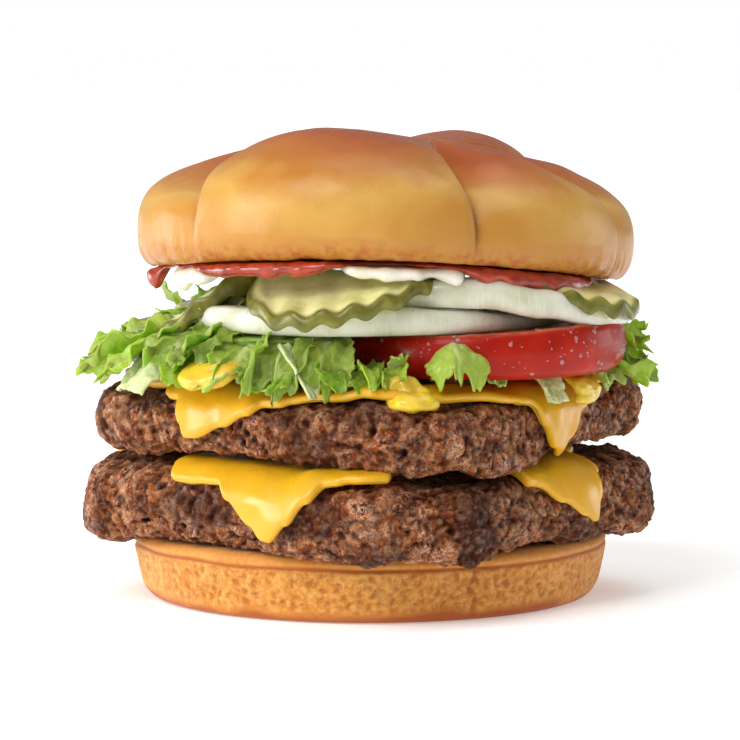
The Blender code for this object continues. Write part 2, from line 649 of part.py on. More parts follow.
def main():
    for old in list(bpy.data.objects):
        bpy.data.objects.remove(old)
    make_heel()
    for patty, patty_name, corners, slice_name in (
            (LOWER_PATTY, "patty_lower", LOWER_CHEESE_CORNERS, "cheese_lower"),
            (UPPER_PATTY, "patty_upper", UPPER_CHEESE_CORNERS, "cheese_upper")):
        azimuths = columns(13.0, [place for place, _ in corners] + [patty["turn"] - 45.0], (0.0, 5.0, 12.0))
        make_patty(patty_name, patty, azimuths)
        make_cheese(slice_name, patty, corners, azimuths)
    for name, dollop in MUSTARD.items():
        add_object(name, mustard_body(*dollop), "mustard")
    make_tomato()
    make_lettuce()
    make_front_leaf()
    make_onions()
    seat = crown_seat()
    for name, shape in PICKLES.items():
        make_pickle(name, shape, seat)
    make_spread("mayonnaise", MAYO_REACH, MAYO_HANG, MAYO_TOP, MAYO_THICK, "mayonnaise", seat)
    make_spread("ketchup", KETCHUP_REACH, KETCHUP_HANG, KETCHUP_TOP, KETCHUP_THICK, "ketchup", seat)
    make_crown(seat)


main()
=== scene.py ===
"""Looks of the double cheeseburger: crust, beef, melted cheese, leaves, slices and sauces.

Lengths are in millimetres until a mesh is made. Azimuths are in degrees, 0 at the
front (-Y) and growing towards the right (+X).
"""
import math

import bmesh
import bpy
import numpy as np
from bpy.props import FloatProperty, FloatVectorProperty, PointerProperty
from mathutils import Euler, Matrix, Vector
from mathutils.bvhtree import BVHTree


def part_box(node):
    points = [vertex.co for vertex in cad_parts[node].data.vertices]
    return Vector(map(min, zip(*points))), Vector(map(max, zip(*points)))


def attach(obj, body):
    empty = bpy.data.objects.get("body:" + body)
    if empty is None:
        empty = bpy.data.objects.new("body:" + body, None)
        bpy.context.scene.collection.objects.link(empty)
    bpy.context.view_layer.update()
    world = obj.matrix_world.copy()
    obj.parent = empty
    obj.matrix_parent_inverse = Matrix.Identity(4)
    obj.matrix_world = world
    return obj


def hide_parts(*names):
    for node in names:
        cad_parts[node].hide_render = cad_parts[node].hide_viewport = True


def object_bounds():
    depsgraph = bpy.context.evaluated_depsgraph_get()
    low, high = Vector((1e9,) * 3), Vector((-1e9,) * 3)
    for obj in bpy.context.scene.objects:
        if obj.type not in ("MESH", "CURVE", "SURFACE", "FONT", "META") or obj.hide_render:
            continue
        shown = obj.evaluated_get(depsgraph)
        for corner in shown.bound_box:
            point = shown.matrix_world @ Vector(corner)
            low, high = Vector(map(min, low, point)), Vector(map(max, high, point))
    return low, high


bl_info = {
    "name": "Double Cheeseburger",
    "version": (1, 0, 0),
    "blender": (4, 5, 0),
    "location": "3D View > Sidebar > Burger",
    "description": "Dresses the layers of a double cheeseburger",
    "category": "Object",
}

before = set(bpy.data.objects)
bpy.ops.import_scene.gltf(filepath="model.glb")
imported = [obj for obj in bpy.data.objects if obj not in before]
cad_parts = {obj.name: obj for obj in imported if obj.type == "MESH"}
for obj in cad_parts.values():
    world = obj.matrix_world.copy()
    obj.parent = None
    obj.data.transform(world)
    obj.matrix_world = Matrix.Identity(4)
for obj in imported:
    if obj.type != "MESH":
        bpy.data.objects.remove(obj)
CAD_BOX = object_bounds()
MM = 0.001


# ---------------------------------------------------------------- numbers and noise

def tone(code):
    """Linear colour of an sRGB hex value."""
    channels = [int(code[i:i + 2], 16) / 255.0 for i in (1, 3, 5)]
    return tuple(c / 12.92 if c <= 0.04045 else ((c + 0.055) / 1.055) ** 2.4 for c in channels)


def heading(azimuth):
    """Unit vectors in plan for azimuths in degrees."""
    turn = np.radians(azimuth)
    return np.stack([np.sin(turn), -np.cos(turn), np.zeros_like(turn)], axis=-1)


def away(azimuth, other=0.0):
    """Signed angle from other to azimuth, in -180..180."""
    return (np.asarray(azimuth) - other + 180.0) % 360.0 - 180.0


def blend(edge0, edge1, value):
    """Smooth step from 0 at edge0 to 1 at edge1."""
    share = np.clip((value - edge0) / (edge1 - edge0), 0.0, 1.0)
    return share * share * (3.0 - 2.0 * share)


def along(stations, value):
    """Smooth course through (place, height) stations."""
    places, heights = np.array(stations, dtype=float).T
    value = np.clip(value, places[0], places[-1])
    k = np.clip(np.searchsorted(places, value, side="right") - 1, 0, len(places) - 2)
    return heights[k] + (heights[k + 1] - heights[k]) * blend(places[k], places[k + 1], value)


def lattice(cells, seed):
    """Repeatable random value in 0..1 for each whole cell."""
    mixed = cells[..., 0] * 73856093 ^ cells[..., 1] * 19349663 ^ cells[..., 2] * 83492791 ^ (seed * 2654435 + 977)
    mixed = (mixed ^ (mixed >> 13)) * 1274126177
    mixed = (mixed ^ (mixed >> 16)) * 668265263
    return ((mixed ^ (mixed >> 15)) & 0xFFFFFF) / float(0xFFFFFF)


def ripple(points, size, seed):
    """Smooth noise in -1..1 with lumps of about the given size."""
    spots = np.asarray(points, dtype=float) / size
    cells = np.floor(spots).astype(np.int64)
    part = spots - cells
    part = part * part * (3.0 - 2.0 * part)
    total = 0.0
    for corner in np.ndindex(2, 2, 2):
        weight = np.prod(np.where(corner, part, 1.0 - part), axis=-1)
        total = total + weight * lattice(cells + np.array(corner), seed)
    return 2.0 * total - 1.0


def grains(points, size, seed):
    """Distances to the nearest and the next nearest grain centre, in grain sizes, and the grain's own number."""
    spots = np.asarray(points, dtype=float) / size
    cells = np.floor(spots).astype(np.int64)
    first = np.full(spots.shape[:-1], 9.0)
    second = first.copy()
    mark = np.zeros_like(first)
    for step in np.ndindex(3, 3, 3):
        cell = cells + np.array(step) - 1
        centre = cell + np.stack([lattice(cell, seed + k) for k in range(3)], axis=-1)
        apart = np.linalg.norm(centre - spots, axis=-1)
        nearer = apart < first
        second = np.where(nearer, first, np.minimum(second, apart))
        mark = np.where(nearer, lattice(cell, seed + 7), mark)
        first = np.where(nearer, apart, first)
    return first, second, mark


def soften(values, times, wrap=True):
    """Average a grid with its neighbours; columns run round, rows stop at the ends."""
    for _ in range(times):
        across = np.roll(values, 1, axis=1) + np.roll(values, -1, axis=1) if wrap else 2.0 * values
        padded = np.concatenate([values[:1], values, values[-1:]])
        values = 0.5 * values + 0.125 * (across + padded[:-2] + padded[2:])
    return values


def crest(values, reach):
    """Highest value within a number of steps round each place of a grid."""
    high = values
    for _ in range(reach):
        padded = np.concatenate([high[:1], high, high[-1:]])
        high = np.maximum.reduce([high, np.roll(high, 1, axis=1), np.roll(high, -1, axis=1),
                                  padded[:-2], padded[2:]])
    return high


def normalised(vectors):
    """Vectors scaled to length 1."""
    return vectors / np.maximum(np.linalg.norm(vectors, axis=-1, keepdims=True), 1e-9)


def grid_normals(points):
    """Outward normals of a grid whose columns run round with growing azimuth and rows run upwards."""
    round_way = np.roll(points, -1, axis=1) - np.roll(points, 1, axis=1)
    up_way = np.gradient(points, axis=0)
    return normalised(np.cross(round_way, up_way))


# ---------------------------------------------------------------- meshes

def make_piece(name, points, faces, marks=None):
    """New smooth mesh object from points in millimetres, with one float attribute for each mark."""
    mesh = bpy.data.meshes.new(name)
    mesh.from_pydata((np.asarray(points) * MM).tolist(), [], faces)
    for key, values in (marks or {}).items():
        layer = mesh.attributes.new(key, "FLOAT", "POINT")
        layer.data.foreach_set("value", np.asarray(values, dtype=np.float32).ravel())
    mesh.shade_smooth()
    mesh.validate()
    piece = bpy.data.objects.new(name, mesh)
    bpy.context.scene.collection.objects.link(piece)
    return piece


def grid_faces(rows, columns, closed=True, start=0):
    """Quads of a grid, columns running round when closed."""
    count = columns if closed else columns - 1
    low = np.arange(rows - 1)[:, None] * columns + start
    here = np.arange(count)[None, :]
    there = (here + 1) % columns
    quads = np.stack([low + here, low + there, low + columns + there, low + columns + here], axis=-1)
    return quads.reshape(-1, 4).tolist()


def shell(name, points, marks=None, poles=None):
    """Closed piece from a grid of rings that run upwards, shut by a pole point at each end."""
    rows, columns = points.shape[:2]
    faces = grid_faces(rows, columns)
    flat = points.reshape(-1, 3)
    foot, tip = poles or (points[0].mean(axis=0), points[-1].mean(axis=0))
    flat = np.concatenate([flat, [foot, tip]])
    low, high = rows * columns, rows * columns + 1
    last = (rows - 1) * columns
    for k in range(columns):
        after = (k + 1) % columns
        faces.append((after, k, low))
        faces.append((last + k, last + after, high))
    full = {}
    for key, values in (marks or {}).items():
        values = np.asarray(values, dtype=float)
        full[key] = np.concatenate([values.ravel(), [values[0].mean(), values[-1].mean()]])
    return make_piece(name, flat, faces, full)


def loop_tube(name, points, marks=None):
    """Closed ring: each column of the grid is a section, and rows run round the section."""
    rows, columns = points.shape[:2]
    faces = grid_faces(rows, columns)
    here = np.arange(columns)
    there = (here + 1) % columns
    last = (rows - 1) * columns
    seam = np.stack([last + here, last + there, there, here], axis=-1)
    faces += seam.tolist()
    return make_piece(name, points.reshape(-1, 3), faces, marks)


def node_tree(name):
    """Search tree over a CAD node's surface, in metres."""
    data = bmesh.new()
    data.from_mesh(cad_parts[name].data)
    bmesh.ops.remove_doubles(data, verts=data.verts, dist=1e-6)
    tree = BVHTree.FromBMesh(data)
    data.free()
    return tree


def settle(piece, finish, slot, *nodes):
    """Give a finished piece its material and its body, and hide the CAD nodes it stands for; slot is not used."""
    piece.data.materials.clear()
    piece.data.materials.append(finish)
    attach(piece, "root")
    if nodes:
        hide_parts(*nodes)


# ---------------------------------------------------------------- material helpers

def add(tree, kind, inputs=None, **settings):
    """Add a node with its settings, and its inputs as values or links."""
    node = tree.nodes.new(kind)
    for key, value in settings.items():
        setattr(node, key, value)
    for key, value in (inputs or {}).items():
        if isinstance(value, bpy.types.NodeSocket):
            tree.links.new(value, node.inputs[key])
        else:
            node.inputs[key].default_value = value
    return node


def per(size):
    """Texture scale whose pattern repeats about every size millimetres."""
    return 1.0 / (size * MM)


def finish_of(name):
    """New material: its tree, Principled shader and Object coordinates."""
    made = bpy.data.materials.new(name)
    made.use_nodes = True
    tree = made.node_tree
    shader = tree.nodes["Principled BSDF"]
    place = add(tree, "ShaderNodeTexCoord").outputs["Object"]
    return made, tree, shader, place


def set_up(shader, **values):
    """Set sockets of a shader by name, with _ for a space."""
    for key, value in values.items():
        shader.inputs[key.replace("_", " ")].default_value = value


def ramp(tree, value, *stops):
    """Colour ramp over a value; each stop is (place, colour)."""
    node = add(tree, "ShaderNodeValToRGB", {"Fac": value})
    elements = node.color_ramp.elements
    while len(elements) < len(stops):
        elements.new(0.5)
    for element, (place, colour) in zip(elements, stops):
        element.position = place
        element.color = (*colour, 1.0)
    return node.outputs["Color"]


def mixed(tree, share, first, second, blend_type="MIX"):
    """Mix of two colours, each a socket or a linear colour."""
    node = add(tree, "ShaderNodeMix", data_type="RGBA", blend_type=blend_type)
    for socket, value in ((node.inputs[0], share), (node.inputs[6], first), (node.inputs[7], second)):
        if isinstance(value, bpy.types.NodeSocket):
            tree.links.new(value, socket)
        elif isinstance(value, (int, float)):
            socket.default_value = value
        else:
            socket.default_value = (*value, 1.0)
    return node.outputs[2]


def math_of(tree, operation, first, second=0.5, third=0.0):
    """Value of a Math node over sockets or numbers."""
    node = add(tree, "ShaderNodeMath", {0: first, 1: second, 2: third}, operation=operation)
    return node.outputs[0]


def mark_of(tree, name):
    """Value of a float attribute of the piece."""
    return add(tree, "ShaderNodeAttribute", attribute_name=name).outputs["Fac"]


def noise_of(tree, place, size, detail=4.0, roughness=0.5, distortion=0.0):
    """Noise value with lumps of about the given size in millimetres."""
    node = add(tree, "ShaderNodeTexNoise", {"Vector": place, "Scale": per(size), "Detail": detail,
                                            "Roughness": roughness, "Distortion": distortion})
    return node.outputs["Fac"]


def bump_of(tree, height, depth, strength=1.0, under=None):
    """Bump whose full height is depth millimetres."""
    inputs = {"Height": height, "Distance": depth * MM, "Strength": strength}
    if under:
        inputs["Normal"] = under
    return add(tree, "ShaderNodeBump", inputs).outputs["Normal"]


# ---------------------------------------------------------------- settings

def size_prop(name, description, default, low=0.0, high=200.0):
    """A length that a user can change, given here in millimetres."""
    return FloatProperty(name=name, description=description, default=default * MM, min=low * MM, max=high * MM,
                         subtype="DISTANCE", unit="LENGTH")


def colour_prop(name, description, code):
    """A colour that a user can change, stored linear."""
    return FloatVectorProperty(name=name, description=description, subtype="COLOR", size=3,
                               min=0.0, max=1.0, default=tone(code))


def share_prop(name, description, default):
    """Plain number that a user may change."""
    return FloatProperty(name=name, description=description, default=default, min=0.0)


class BunSettings(bpy.types.PropertyGroup):
    """Sizes and colours of the two halves of the bun"""
    pore: size_prop("Crust pores", "Width of the leathery pores on the heel", 2.4, 0.5, 10.0)
    pore_depth: size_prop("Pore depth", "Depth of those pores", 0.28, 0.0, 2.0)
    wrinkle: size_prop("Edge wrinkles", "Height of the wrinkles at the crown's lower edge", 0.32, 0.0, 2.0)
    toasted: colour_prop("Toasted top", "Colour where the crust browned most", "#a94e0a")
    golden: colour_prop("Golden crust", "Colour of the crust at half height", "#b97427")
    pale: colour_prop("Pale crust", "Colour of the crust low on its sides", "#d0a04e")
    heel: colour_prop("Heel crust", "Colour of the heel's side", "#d78f34")
    scorched: colour_prop("Scorched edge", "Colour of the heel's lower edge and groove", "#b05a14")


class BeefSettings(bpy.types.PropertyGroup):
    """Sizes and colours of the patties"""
    chunk: size_prop("Chunks", "Width of the large lumps in the mince", 8.5, 2.0, 20.0)
    crumble: size_prop("Crumble", "Width of the grains of mince", 3.0, 0.8, 8.0)
    relief: size_prop("Relief", "Height of the mince's relief", 1.15, 0.0, 4.0)
    brown: colour_prop("Browned beef", "Colour of the seared outside", "#9a461a")
    light: colour_prop("Light beef", "Colour of the raised grains", "#dd9c66")
    dark: colour_prop("Dark beef", "Colour in crevices and charred spots", "#280c04")


class SliceSettings(bpy.types.PropertyGroup):
    """Colours of the leaves and slices"""
    tomato: colour_prop("Tomato skin", "Colour of the tomato's skin", "#b01d06")
    pickle: colour_prop("Pickle flesh", "Colour of the pickles' cut faces", "#eeeaa4")
    rind: colour_prop("Pickle rind", "Colour of the pickles' skin", "#787425")
    leaf: colour_prop("Leaf", "Colour of the lettuce", "#8aa51f")
    rib: colour_prop("Leaf rib", "Colour of the lettuce's pale ribs", "#dce8ac")


class CheeseSettings(bpy.types.PropertyGroup):
    """Thickness and colour of the melted slices"""
    thick: size_prop("Thickness", "Thickness of a slice", 2.1, 0.5, 5.0)
    colour: colour_prop("Cheese", "Colour of the melted cheese", "#ebb61f")


class SauceSettings(bpy.types.PropertyGroup):
    """Colours of the sauces"""
    mayonnaise: colour_prop("Mayonnaise", "Colour of the mayonnaise", "#fbf6e8")
    ketchup: colour_prop("Ketchup", "Colour of the ketchup", "#b23a14")
    mustard: colour_prop("Mustard", "Colour of the mustard", "#f0cf34")


class WaterSettings(bpy.types.PropertyGroup):
    """Drops of water on the fresh slices"""
    smallest: size_prop("Smallest drop", "Radius of the smallest drops", 0.15, 0.05, 2.0)
    largest: size_prop("Largest drop", "Radius of the largest drops", 0.6, 0.05, 3.0)
    density: share_prop("Drops", "Drops per square centimetre", 16.0)


class StageSettings(bpy.types.PropertyGroup):
    """Camera, floor and lights"""
    distance: FloatProperty(name="Distance", description="From the camera to its target", default=0.9,
                            subtype="DISTANCE", unit="LENGTH")
    width: FloatProperty(name="Width", description="Width seen at the target", default=0.163466,
                         subtype="DISTANCE", unit="LENGTH")
    elevation: FloatProperty(name="Elevation", description="How far the camera looks down",
                             default=math.radians(5.5), subtype="ANGLE")
    target: FloatProperty(name="Target height", description="Height of the point looked at", default=0.0491,
                          subtype="DISTANCE", unit="LENGTH")
    paper: colour_prop("Floor", "Colour of the floor", "#fafafa")
    glow: share_prop("Glow", "How much the floor shines, like a light table", 0.32)
    fill: share_prop("Fill", "Strength of the light from all round", 0.3)
    key: share_prop("Key", "Strength of the main light, in W/m2", 1.35)
    top: share_prop("Top", "Strength of the light from above, in W/m2", 0.95)
    window: share_prop("Window", "Power of the soft box at the left, in W", 5.0)
    glint: share_prop("Glint", "Power of the small light that sparkles on wet food, in W", 0.9)
    rim: share_prop("Rim", "Power of the lights behind, in W", 1.6)


SETTINGS = {"bun": BunSettings, "beef": BeefSettings, "cheese": CheeseSettings, "slices": SliceSettings,
            "sauces": SauceSettings, "water": WaterSettings, "stage": StageSettings}


def settings(kind):
    """Settings group of one kind of food."""
    return getattr(bpy.context.scene, "burger_" + kind)


# ---------------------------------------------------------------- bun heel

HEEL_PROFILE = ((46.0, 0.0), (48.1, 0.35), (49.5, 1.6), (50.5, 3.6), (51.1, 5.8), (51.7, 8.6), (52.15, 11.2),
                (52.0, 12.0), (52.1, 12.9), (51.4, 13.9), (50.0, 14.5), (47.0, 14.6), (40.0, 14.6))
HEEL_CREASE = 25.5              # azimuth of the fold down the front
HEEL_ARC = (37.5, 5.0, 7.6)     # azimuth, height and reach of the curved fold beside it


def profile_points(stations, step):
    """Evenly spaced points along a smooth curve through (radius, height) stations."""
    spots = np.array(stations, dtype=float)
    before = np.concatenate([[2 * spots[0] - spots[1]], spots[:-1]])
    after = np.concatenate([spots[1:], [2 * spots[-1] - spots[-2]]])
    slopes = 0.5 * (after - before)
    share = np.linspace(0.0, 1.0, 24, endpoint=False)[None, :, None]
    start, end = spots[:-1, None], spots[1:, None]
    lead, tail = slopes[:-1, None], slopes[1:, None]
    course = ((2 * share**3 - 3 * share**2 + 1) * start + (share**3 - 2 * share**2 + share) * lead
              + (3 * share**2 - 2 * share**3) * end + (share**3 - share**2) * tail).reshape(-1, 2)
    course = np.concatenate([course, spots[-1:]])
    run = np.concatenate([[0.0], np.cumsum(np.linalg.norm(np.diff(course, axis=0), axis=1))])
    places = np.linspace(0.0, run[-1], int(run[-1] / step) + 1)
    return np.stack([np.interp(places, run, course[:, k]) for k in range(2)], axis=-1)


def make_heel():
    """Heel with a leathery, pored crust, a toasted groove under its rim and two folds."""
    bun = settings("bun")
    profile = profile_points(HEEL_PROFILE, 0.42)
    azimuths = np.linspace(0.0, 360.0, 620, endpoint=False)
    out = heading(azimuths)[None]
    radius, height = profile[:, 0][:, None], profile[:, 1][:, None]
    up = np.array([0.0, 0.0, 1.0])
    base = out * radius[..., None] + up * height[..., None]
    stand = blend(0.0, 4.0, height)
    wave = 0.6 * ripple(base, 22.0, 5) * stand + 0.35 * ripple(base, 9.0, 6) * stand
    base = base + out * wave[..., None]

    warp = np.stack([ripple(base, 5.0, k) for k in (11, 12, 13)], axis=-1) * 1.1
    first, second, _ = grains(base + warp, bun.pore / MM, 21)
    net = blend(0.02, 0.42, second - first)
    fine = ripple(base, 0.9, 31)
    rough = blend(-0.5, 0.5, ripple(base, 26.0, 41)) * 0.65 + 0.35
    side = blend(1.0, 4.5, height) * blend(12.3, 10.6, height)
    relief = -bun.pore_depth / MM * 1.4 * net * rough * side + 0.05 * fine * blend(0.3, 1.5, height)

    turn = away(azimuths, HEEL_CREASE)[None]
    wander = 0.8 * np.sin(height * 0.55) + 0.5 * np.sin(height * 1.3 + 1.0)
    crease = np.exp(-((turn - wander) / 0.75) ** 2) * blend(0.6, 3.0, height) * blend(12.6, 11.0, height)
    swell = np.exp(-((turn - wander - 2.3) / 2.0) ** 2) * blend(1.0, 5.0, height) * blend(12.6, 9.0, height)
    place, level, reach = HEEL_ARC
    from_arc = np.hypot(away(azimuths, place)[None] * 0.9, (height - level) * 1.5 + 2.0) - reach
    arc = np.exp(-(from_arc / 0.6) ** 2) * blend(3.0, 6.0, height) * blend(-9.0, -3.0, turn - 12.0)
    groove = np.exp(-((height - 11.9 - 0.35 * ripple(out * 52.0, 14.0, 9)) / 0.42) ** 2)
    relief = relief - 0.65 * crease + 0.45 * swell - 0.4 * arc - 0.34 * groove * (radius > 50.0)
    base = base + grid_normals(base) * (relief * blend(0.0, 0.8, height))[..., None]
    base[..., 2] = np.clip(base[..., 2], 0.0, 14.6)

    toast = blend(3.6, 0.2, height + 1.5 * ripple(base, 8.0, 51)) + 0.9 * groove * (radius > 50.0)
    # pore follows how deep each pore is sunk and carries the painted shade there; fold carries the painted shade in the
    # folds
    marks = {"toast": np.clip(toast + 0.0 * wave, 0, 1), "pore": net * side, "rim": blend(12.0, 13.0, height) + 0 * wave,
             "fold": np.clip(crease + 0.8 * arc, 0, 1)}
    piece = shell("heel_crust", base, marks, ((0.0, 0.0, 0.0), (0.0, 0.0, 14.6)))
    settle(piece, baked_heel(), "bun", "bun_heel")


def baked_heel():
    """Soft bread crust baked in a pan: dry, matt and leathery, with scorched edges, and painted shade in its sunk pores
    and folds.
    """
    bun = settings("bun")
    made, tree, shader, place = finish_of("baked_pan_crust")
    blotch = noise_of(tree, place, 11.0, 3.0)
    speck = noise_of(tree, place, 1.4, 5.0, 0.65)
    pale = ramp(tree, blotch, (0.3, tone("#cb7f28")), (0.55, bun.heel), (0.75, tone("#e6a54a")))
    # painted shade: the sunk pores are coloured darker, as if shade fell in them
    pored = mixed(tree, math_of(tree, "MULTIPLY", mark_of(tree, "pore"), 0.9), pale, tone("#b56a1f"))
    grain = mixed(tree, ramp(tree, speck, (0.45, (0, 0, 0)), (0.62, (0.6,) * 3)), pored, tone("#f0b965"))
    rim = mixed(tree, math_of(tree, "MULTIPLY", mark_of(tree, "rim"), 0.6), grain, tone("#d88f3e"))
    edge = math_of(tree, "MULTIPLY_ADD", mark_of(tree, "toast"), 1.3, math_of(tree, "MULTIPLY_ADD", speck, 0.6, -0.32))
    edge = add(tree, "ShaderNodeClamp", {"Value": edge}).outputs[0]
    toasted = mixed(tree, edge, rim, bun.scorched)
    # painted shade: the crease down the front and the curved fold beside it are coloured darker, as if shade fell in
    # them
    colour = mixed(tree, math_of(tree, "MULTIPLY", mark_of(tree, "fold"), 0.5), toasted, tone("#a45922"))
    tree.links.new(colour, shader.inputs["Base Color"])
    grit = bump_of(tree, noise_of(tree, place, 0.55, 4.0, 0.7), 0.14, 0.7)
    tree.links.new(grit, shader.inputs["Normal"])
    set_up(shader, Roughness=0.62, Specular_IOR_Level=0.35, Subsurface_Weight=0.12, Subsurface_Scale=0.002,
           Sheen_Weight=0.1, Sheen_Roughness=0.5)
    shader.inputs["Subsurface Radius"].default_value = (1.0, 0.55, 0.25)
    return made


# ---------------------------------------------------------------- crown

CROWN_RADIUS = 55.0
CROWN_SEAT = (3.3, 0.0, 74.0)   # centre of the crown's cut face
CROWN_TILT = (-3.4, 1.7, 0.0)   # degrees about X, Y and Z
CROWN_WAIST = 4.7               # height of the widest line over the cut face
CROWN_DOME = 25.2
CROWN_POWER = 2.3
CROWN_LIP_INSET = 4.6
CROWN_FLAT_INSET = 9.5
CROWN_SEAMS = (-50.0, 20.5, 68.0, 137.0, 215.0)
LOBE_LIFT = (-2.0, -2.5, -2.7, -0.25, -2.5)
LOBE_EDGES = ((2.2, 3.2), (-1.8, 1.4), (-1.4, -1.0), (1.2, 1.2), (-1.0, -1.6))
SEAM_SWIRLS = (62.0, 10.0, 28.0, 36.0, 50.0)    # degrees each seam turns on its way to the swirl
SWIRL_CENTRE = (9.0, -9.0, 0.0)
LOBE_BULGE = 5.8
LOBE_WAIST = 0.36               # share of the lobes' bulge left at the widest line
SWIRL_DIMPLE = 3.2
SEAM_LIP = 0.045                # share of a lobe's width that its rounded lip takes


def seated(points):
    """Points of the crown's own frame as they sit, tipped over the toppings."""
    turn = np.array(Euler([math.radians(a) for a in CROWN_TILT]).to_matrix())
    return points @ turn.T + np.array(CROWN_SEAT)


def crown_lip(azimuths):
    """Height of the crown's lower edge over its cut face; it curls down at the sides."""
    return -0.2 - 3.0 * np.sin(np.radians(azimuths)) ** 2


def crown_underside(radius, azimuths):
    """Height of the cut face and curled edge at a radius, with a little to spare."""
    curl = np.clip((radius - CROWN_RADIUS + CROWN_FLAT_INSET) / (CROWN_FLAT_INSET - CROWN_LIP_INSET), 0.0, 1.0)
    return 1.03 * crown_lip(azimuths) * curl


def lobe_relief(lobes, shares, body, stand):
    """How far the lobes swell; at each seam a rounded lip drops to the lower neighbour."""
    starts, ends = (np.array([pair[k] for pair in LOBE_EDGES]) for k in range(2))
    lifts = np.array(LOBE_LIFT)
    left, right = (lobes - 1) % 5, (lobes + 1) % 5
    own = body * (starts[lobes] * (1.0 - shares) + ends[lobes] * shares) + stand * lifts[lobes]
    first = np.minimum(body * starts[lobes] + stand * lifts[lobes], body * ends[left] + stand * lifts[left])
    last = np.minimum(body * ends[lobes] + stand * lifts[lobes], body * starts[right] + stand * lifts[right])
    lip = [np.sqrt(1.0 - (1.0 - np.clip(share / SEAM_LIP, 0.0, 1.0)) ** 2) for share in (shares, 1.0 - shares)]
    swell = LOBE_BULGE * body * (np.sin(np.pi * shares) ** 0.55 - 0.85)
    return swell + own * (lip[0] + lip[1] - 1.0) + first * (1.0 - lip[0]) + last * (1.0 - lip[1])


def crown_dome(azimuths, lobes, shares, rise):
    """Rows of the dome, from the widest line up to the top, and the relief's seam depth."""
    rise = rise[:, None]
    across = CROWN_RADIUS * np.cos(np.radians(rise)) ** (2.0 / CROWN_POWER)
    inner = 1.0 - across / CROWN_RADIUS
    turns = np.array(SEAM_SWIRLS)
    twist = turns[lobes] * (1.0 - shares) + turns[(lobes + 1) % 5] * shares
    plan = heading(azimuths[None] - twist[None] * inner) * across[..., None]
    plan = plan + np.array(SWIRL_CENTRE) * inner[..., None]
    portion = np.minimum(np.linalg.norm(plan, axis=-1) / CROWN_RADIUS, 1.0)
    climb = (1.0 - portion ** CROWN_POWER) ** (1.0 / CROWN_POWER)
    up = np.array([0.0, 0.0, 1.0])
    normals = heading(azimuths)[None] * (portion ** (CROWN_POWER - 1.0) / CROWN_RADIUS)[..., None]
    normals = normals + up * (climb ** (CROWN_POWER - 1.0) / CROWN_DOME)[..., None]
    normals /= np.linalg.norm(normals, axis=-1, keepdims=True)

    body = blend(0.0, 30.0, rise) * blend(88.0, 62.0, rise) * (1.0 - LOBE_WAIST)
    body = body + LOBE_WAIST * blend(88.0, 55.0, rise)
    stand = blend(12.0, 50.0, rise) * blend(87.0, 60.0, rise)
    relief = lobe_relief(lobes, shares, body, stand) - SWIRL_DIMPLE * blend(50.0, 90.0, rise)
    points = plan + up * (CROWN_WAIST + CROWN_DOME * climb)[..., None] + normals * relief[..., None]
    return points


def make_crown():
    """Egg-glazed crown: five swirled lobes, wrinkled where the crust tucks under."""
    bun = settings("bun")
    spread = 0.5 - 0.5 * np.cos(np.linspace(0.0, np.pi, 105))
    spread = 0.35 * np.linspace(0.0, 1.0, 105) + 0.65 * spread
    inner = 0.004 + 0.992 * spread
    lobes = np.repeat(np.arange(5), len(inner))
    shares = np.tile(inner, 5)
    starts = np.array(CROWN_SEAMS)
    spans = np.diff(np.append(starts, starts[0] + 360.0))
    azimuths = starts[lobes] + spans[lobes] * shares

    under = []
    for inset, level, flat in ((40.0, 0.0, 1.0), (26.0, 0.0, 1.0), (CROWN_FLAT_INSET, 0.0, 1.0)):
        under.append(heading(azimuths) * (CROWN_RADIUS - inset) + np.array([0.0, 0.0, level]))
    lip = crown_lip(azimuths)
    for share in np.linspace(0.0, 1.0, 26):
        curve = 0.5 * np.pi * share
        inset = CROWN_LIP_INSET * (1.0 - np.sin(curve))
        height = lip + (CROWN_WAIST - lip) * (1.0 - np.cos(curve))
        under.append(heading(azimuths) * (CROWN_RADIUS - inset) + np.array([0.0, 0.0, 1.0]) * height[:, None])
    rise = np.concatenate([np.linspace(1.2, 78.0, 88), np.linspace(79.0, 88.5, 9)])
    dome = crown_dome(azimuths, lobes, shares, rise)
    points = np.concatenate([np.array(under), dome])
    rows = len(under)
    level = np.concatenate([np.linspace(-1.0, 0.0, rows), rise / 90.0])[:, None]

    waist = lobe_relief(lobes, shares, LOBE_WAIST, 0.0)
    tuck = np.clip((np.arange(len(under)) - 4.0) / (len(under) - 5.0), 0.0, 1.0) ** 0.7
    points[:len(under)] += heading(azimuths)[None] * (waist[None] * tuck[:, None])[..., None]

    normals = grid_normals(points)
    heavy = ripple(points, 14.0, 61) * 0.35 + ripple(points, 5.0, 62) * 0.14
    turn = heading(azimuths)[None] * 55.0 + np.array([0.0, 0.0, 0.35]) * points[..., 2:]
    folds = ripple(turn, 2.6, 63) + 0.6 * ripple(turn, 1.3, 64)
    low = blend(-1.0, -0.75, level) * blend(0.10, -0.45, level)
    seam = np.minimum(shares, 1.0 - shares) * spans[lobes]
    relief = heavy * blend(-0.8, 0.1, level) + bun.wrinkle / MM * folds * low
    points = points + normals * (relief * blend(0.3, 3.0, seam)[None])[..., None]

    # crease is a narrow band along each seam between lobes; it carries the painted shade where one lobe drops under the
    # next
    marks = {"rise": level + 0.0 * heavy, "seam": np.exp(-seam / 2.2)[None] * blend(0.02, 0.3, level) + 0 * heavy,
             "edge": blend(-0.05, -0.6, level + 0.12 * ripple(turn, 4.0, 65)),
             "fold": folds * low, "crease": np.exp(-seam / 0.7)[None] * blend(-0.1, 0.1, level) + 0.0 * heavy,
             "crest": np.sin(np.pi * shares)[None] ** 0.5 + 0.0 * heavy}
    top = crown_dome(np.zeros(1), np.zeros(1, dtype=int), np.full(1, 0.5), np.array([90.0]))[0, 0]
    piece = shell("crown_crust", seated(points), marks, (seated(np.zeros(3)), seated(top)))
    settle(piece, glazed_crown(), "bun", "bun_crown")


